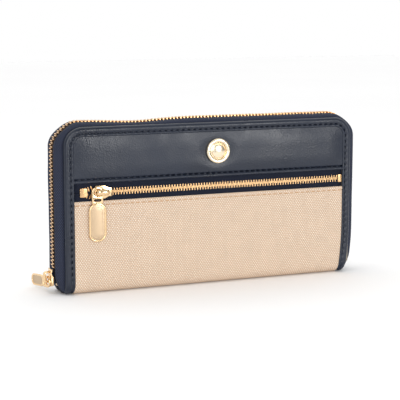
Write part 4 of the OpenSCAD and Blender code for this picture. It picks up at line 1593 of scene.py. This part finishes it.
class WALLET_OT_coin_pocket(bpy.types.Operator):
    """Make the zipped coin pocket in the middle"""

    bl_idname = "wallet.coin_pocket"
    bl_label = "Coin pocket"

    def execute(self, context):
        self.teeth()
        self.tapes()
        self.walls()
        return {"FINISHED"}

    def walls(self):
        """Soft pouch: its sides belly slightly and its top edges are turned."""
        half = COIN_HIGH[1]
        low, high = COIN_LOW[2], COIN_HIGH[2]
        heights = [low, low + 0.3, *np.linspace(low + 2, high - 1.2, 16), high - 0.4, high]
        rings = []
        for z in heights:
            share = math.sin(math.pi * (z - low) / (high - low))
            ring = []
            for x, y in round_rect(0, 0, 2 * COIN_HIGH[0], 2 * (half - 0.35), 2.0, 6):
                belly = 0.45 * share * max(0.0, 1 - (x / COIN_HIGH[0]) ** 4)
                ring.append((x, y + math.copysign(belly, y), z))
            rings.append(ring)
        inner = []
        for z, ring in zip(heights[::-1], rings[::-1]):
            lift = max(z, low + 0.6)
            inner.append([(x * 0.994, y - math.copysign(0.5, y), lift) for x, y, _ in ring])
        outer_pouch = loft("coin_pouch_walls", rings + inner, card_leather())
        place_on(outer_pouch, "spine", "lining", "coin_pocket")

    def tapes(self):
        for name, side in (("front", -1), ("back", 1)):
            node = "coin_zip_tape_" + name
            low, high = node_box(node)
            reach = max(abs(low[1]), abs(high[1]))
            top = high[2]
            profile = [(0.75, top - 0.2), (1.6, top - 0.02), (3.0, top), (reach - 0.7, top)]
            profile += [(reach - 0.2, top - 0.25), (reach, top - 0.8), (reach - 0.5, top - 2.0)]
            profile += [(COIN_HIGH[1] + 0.15, low[2] + 0.4), (COIN_HIGH[1] + 0.02, low[2] - 1.5)]
            along = np.linspace(low[0], high[0], 70)[::side]
            rows = [[(x, side * y, z) for x in along] for y, z in profile]
            uvs = [[(x, y + z) for x in along] for y, z in profile]
            tape = sheet_shell("coin_tape_" + name, rows, 0.4, zip_tape(), uvs)
            place_on(tape, "spine", "zip_tape", node)

    def teeth(self):
        shape = tooth_shape("coin_tooth", True, past=0.6, reach=1.95, thick=0.9, deep=1.1)
        pitch = sizes().pocket_tooth_spacing
        low, high = node_box("coin_zip_teeth_front")
        z = (low[2] + high[2]) / 2
        path = [(node_box("coin_slider_body")[1][0] - 1.0, 0.0, z), (high[0], 0.0, z)]
        front = row_along("coin_teeth_front_row", path, pitch, shape, gold_teeth())
        maker = row_along("coin_teeth_maker", path, pitch, shape, gold_teeth(), half_step=True)
        place_on(front, "spine", "zip_metal", "coin_zip_teeth_front")
        back = to_back(maker, "coin_teeth_back_row")
        place_on(back, "spine", "zip_metal", "coin_zip_teeth_back")
        bpy.data.objects.remove(shape)


class WALLET_OT_hidden_parts(bpy.types.Operator):
    """Give the boards, the pouch and the small fittings their finishes"""

    bl_idname = "wallet.hidden_parts"
    bl_label = "Hidden parts"

    def execute(self, context):
        finishes = {
            "spine_board": bag_board,
            "front_board": bag_board,
            "back_board": bag_board,
            "back_filler": bag_board,
            "front_pocket_bag": cotton_lining,
            "stud_backplate": gold_teeth,
            "coin_zip_stops": gold_teeth,
        }
        for node, finish in finishes.items():
            for slot in frame["nodes"][node].material_slots:
                slot.material = finish()
        return {"FINISHED"}


# ---- stage ----
class WALLET_OT_stage(bpy.types.Operator):
    """Make the camera, the lights, the floor and the white surroundings"""

    bl_idname = "wallet.stage"
    bl_label = "Stage"

    def execute(self, context):
        scene = context.scene
        camera = new_object("camera", bpy.data.cameras.new("camera"))
        camera.location = CAMERA_PLACE
        camera.rotation_euler = (math.radians(90 - CAMERA_PITCH), 0.0, math.radians(-CAMERA_YAW))
        camera.data.lens = CAMERA_LENS
        camera.data.sensor_width = 36.0
        camera.data.clip_start = 0.01
        camera.data.clip_end = 20.0
        scene.camera = camera
        self.floor()
        self.lights(scene)
        scene.view_settings.view_transform = "Standard"
        return {"FINISHED"}

    def floor(self):
        half = 3000.0
        points = [(-half, -half, 0), (half, -half, 0), (half, half, 0), (-half, half, 0)]
        floor = make_mesh("studio_floor", points, [(0, 1, 2, 3)], studio_floor(), smooth=False)

    def lights(self, scene):
        world = bpy.data.worlds.new("white_studio")
        scene.world = world
        world.use_nodes = True
        tree = world.node_tree
        tree.nodes.clear()
        toward = add_node(tree, "ShaderNodeTexCoord").outputs["Generated"]
        split = add_node(tree, "ShaderNodeSeparateXYZ", {"Vector": toward})
        # the room is white beyond the wallet, dimmer on the viewer's side and lighter overhead
        parts = {}
        spans = (("Y", -0.7, 0.25, 0.2, 1.0), ("Z", 0.25, 0.9, 0.0, 0.45))
        for index, (axis, *ends) in enumerate(spans):
            values = dict(zip(("From Min", "From Max", "To Min", "To Max"), ends))
            values["Value"] = split.outputs[axis]
            part = add_node(tree, "ShaderNodeMapRange", values, interpolation_type="SMOOTHSTEP")
            parts[index] = part.outputs["Result"]
        total = add_node(tree, "ShaderNodeMath", parts, operation="ADD").outputs[0]
        sky = add_node(tree, "ShaderNodeBackground", {"Color": (1.0, 1.0, 1.0, 1.0), "Strength": total})
        add_node(tree, "ShaderNodeOutputWorld", {"Surface": sky.outputs["Background"]})
        for name, place, aim, size, power in LAMPS:
            data = bpy.data.lights.new(name, "AREA")
            data.size = size
            data.energy = power
            lamp = new_object(name, data)
            lamp.location = place
            lamp.rotation_mode = "QUATERNION"
            lamp.rotation_quaternion = (Vector(aim) - Vector(place)).to_track_quat("-Z", "Y")


STEPS = (
    WALLET_OT_stage,
    WALLET_OT_canvas,
    WALLET_OT_leather,
    WALLET_OT_pocket_zip,
    WALLET_OT_sliders,
    WALLET_OT_pulls,
    WALLET_OT_stud,
    WALLET_OT_main_zip,
    WALLET_OT_inside,
    WALLET_OT_coin_pocket,
    WALLET_OT_hidden_parts,
)


class WALLET_PT_panel(bpy.types.Panel):
    """Lists the wallet's sizes, colours and pieces"""

    bl_idname = "WALLET_PT_panel"
    bl_label = "Zip around wallet"
    bl_space_type = "VIEW_3D"
    bl_region_type = "UI"
    bl_category = "Wallet"

    def draw(self, context):
        for group in (context.scene.wallet_sizes, context.scene.wallet_colours):
            for name in group.bl_rna.properties.keys():
                if name not in ("rna_type", "name"):
                    self.layout.prop(group, name)
        for step in STEPS:
            self.layout.operator(step.bl_idname)


CLASSES = (WalletSizes, WalletColours, *STEPS, WALLET_PT_panel)


def register():
    for item in CLASSES:
        bpy.utils.register_class(item)
    bpy.types.Scene.wallet_sizes = bpy.props.PointerProperty(type=WalletSizes)
    bpy.types.Scene.wallet_colours = bpy.props.PointerProperty(type=WalletColours)


def unregister():
    del bpy.types.Scene.wallet_colours
    del bpy.types.Scene.wallet_sizes
    for item in reversed(CLASSES):
        bpy.utils.unregister_class(item)


def main():
    register()
    bpy.ops.wallet.stage()
    bpy.ops.wallet.canvas()
    bpy.ops.wallet.leather()
    bpy.ops.wallet.pocket_zip()
    bpy.ops.wallet.sliders()
    bpy.ops.wallet.pulls()
    bpy.ops.wallet.stud()
    bpy.ops.wallet.main_zip()
    bpy.ops.wallet.inside()
    bpy.ops.wallet.coin_pocket()
    bpy.ops.wallet.hidden_parts()
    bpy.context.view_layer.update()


if __name__ == "__main__":
    main()
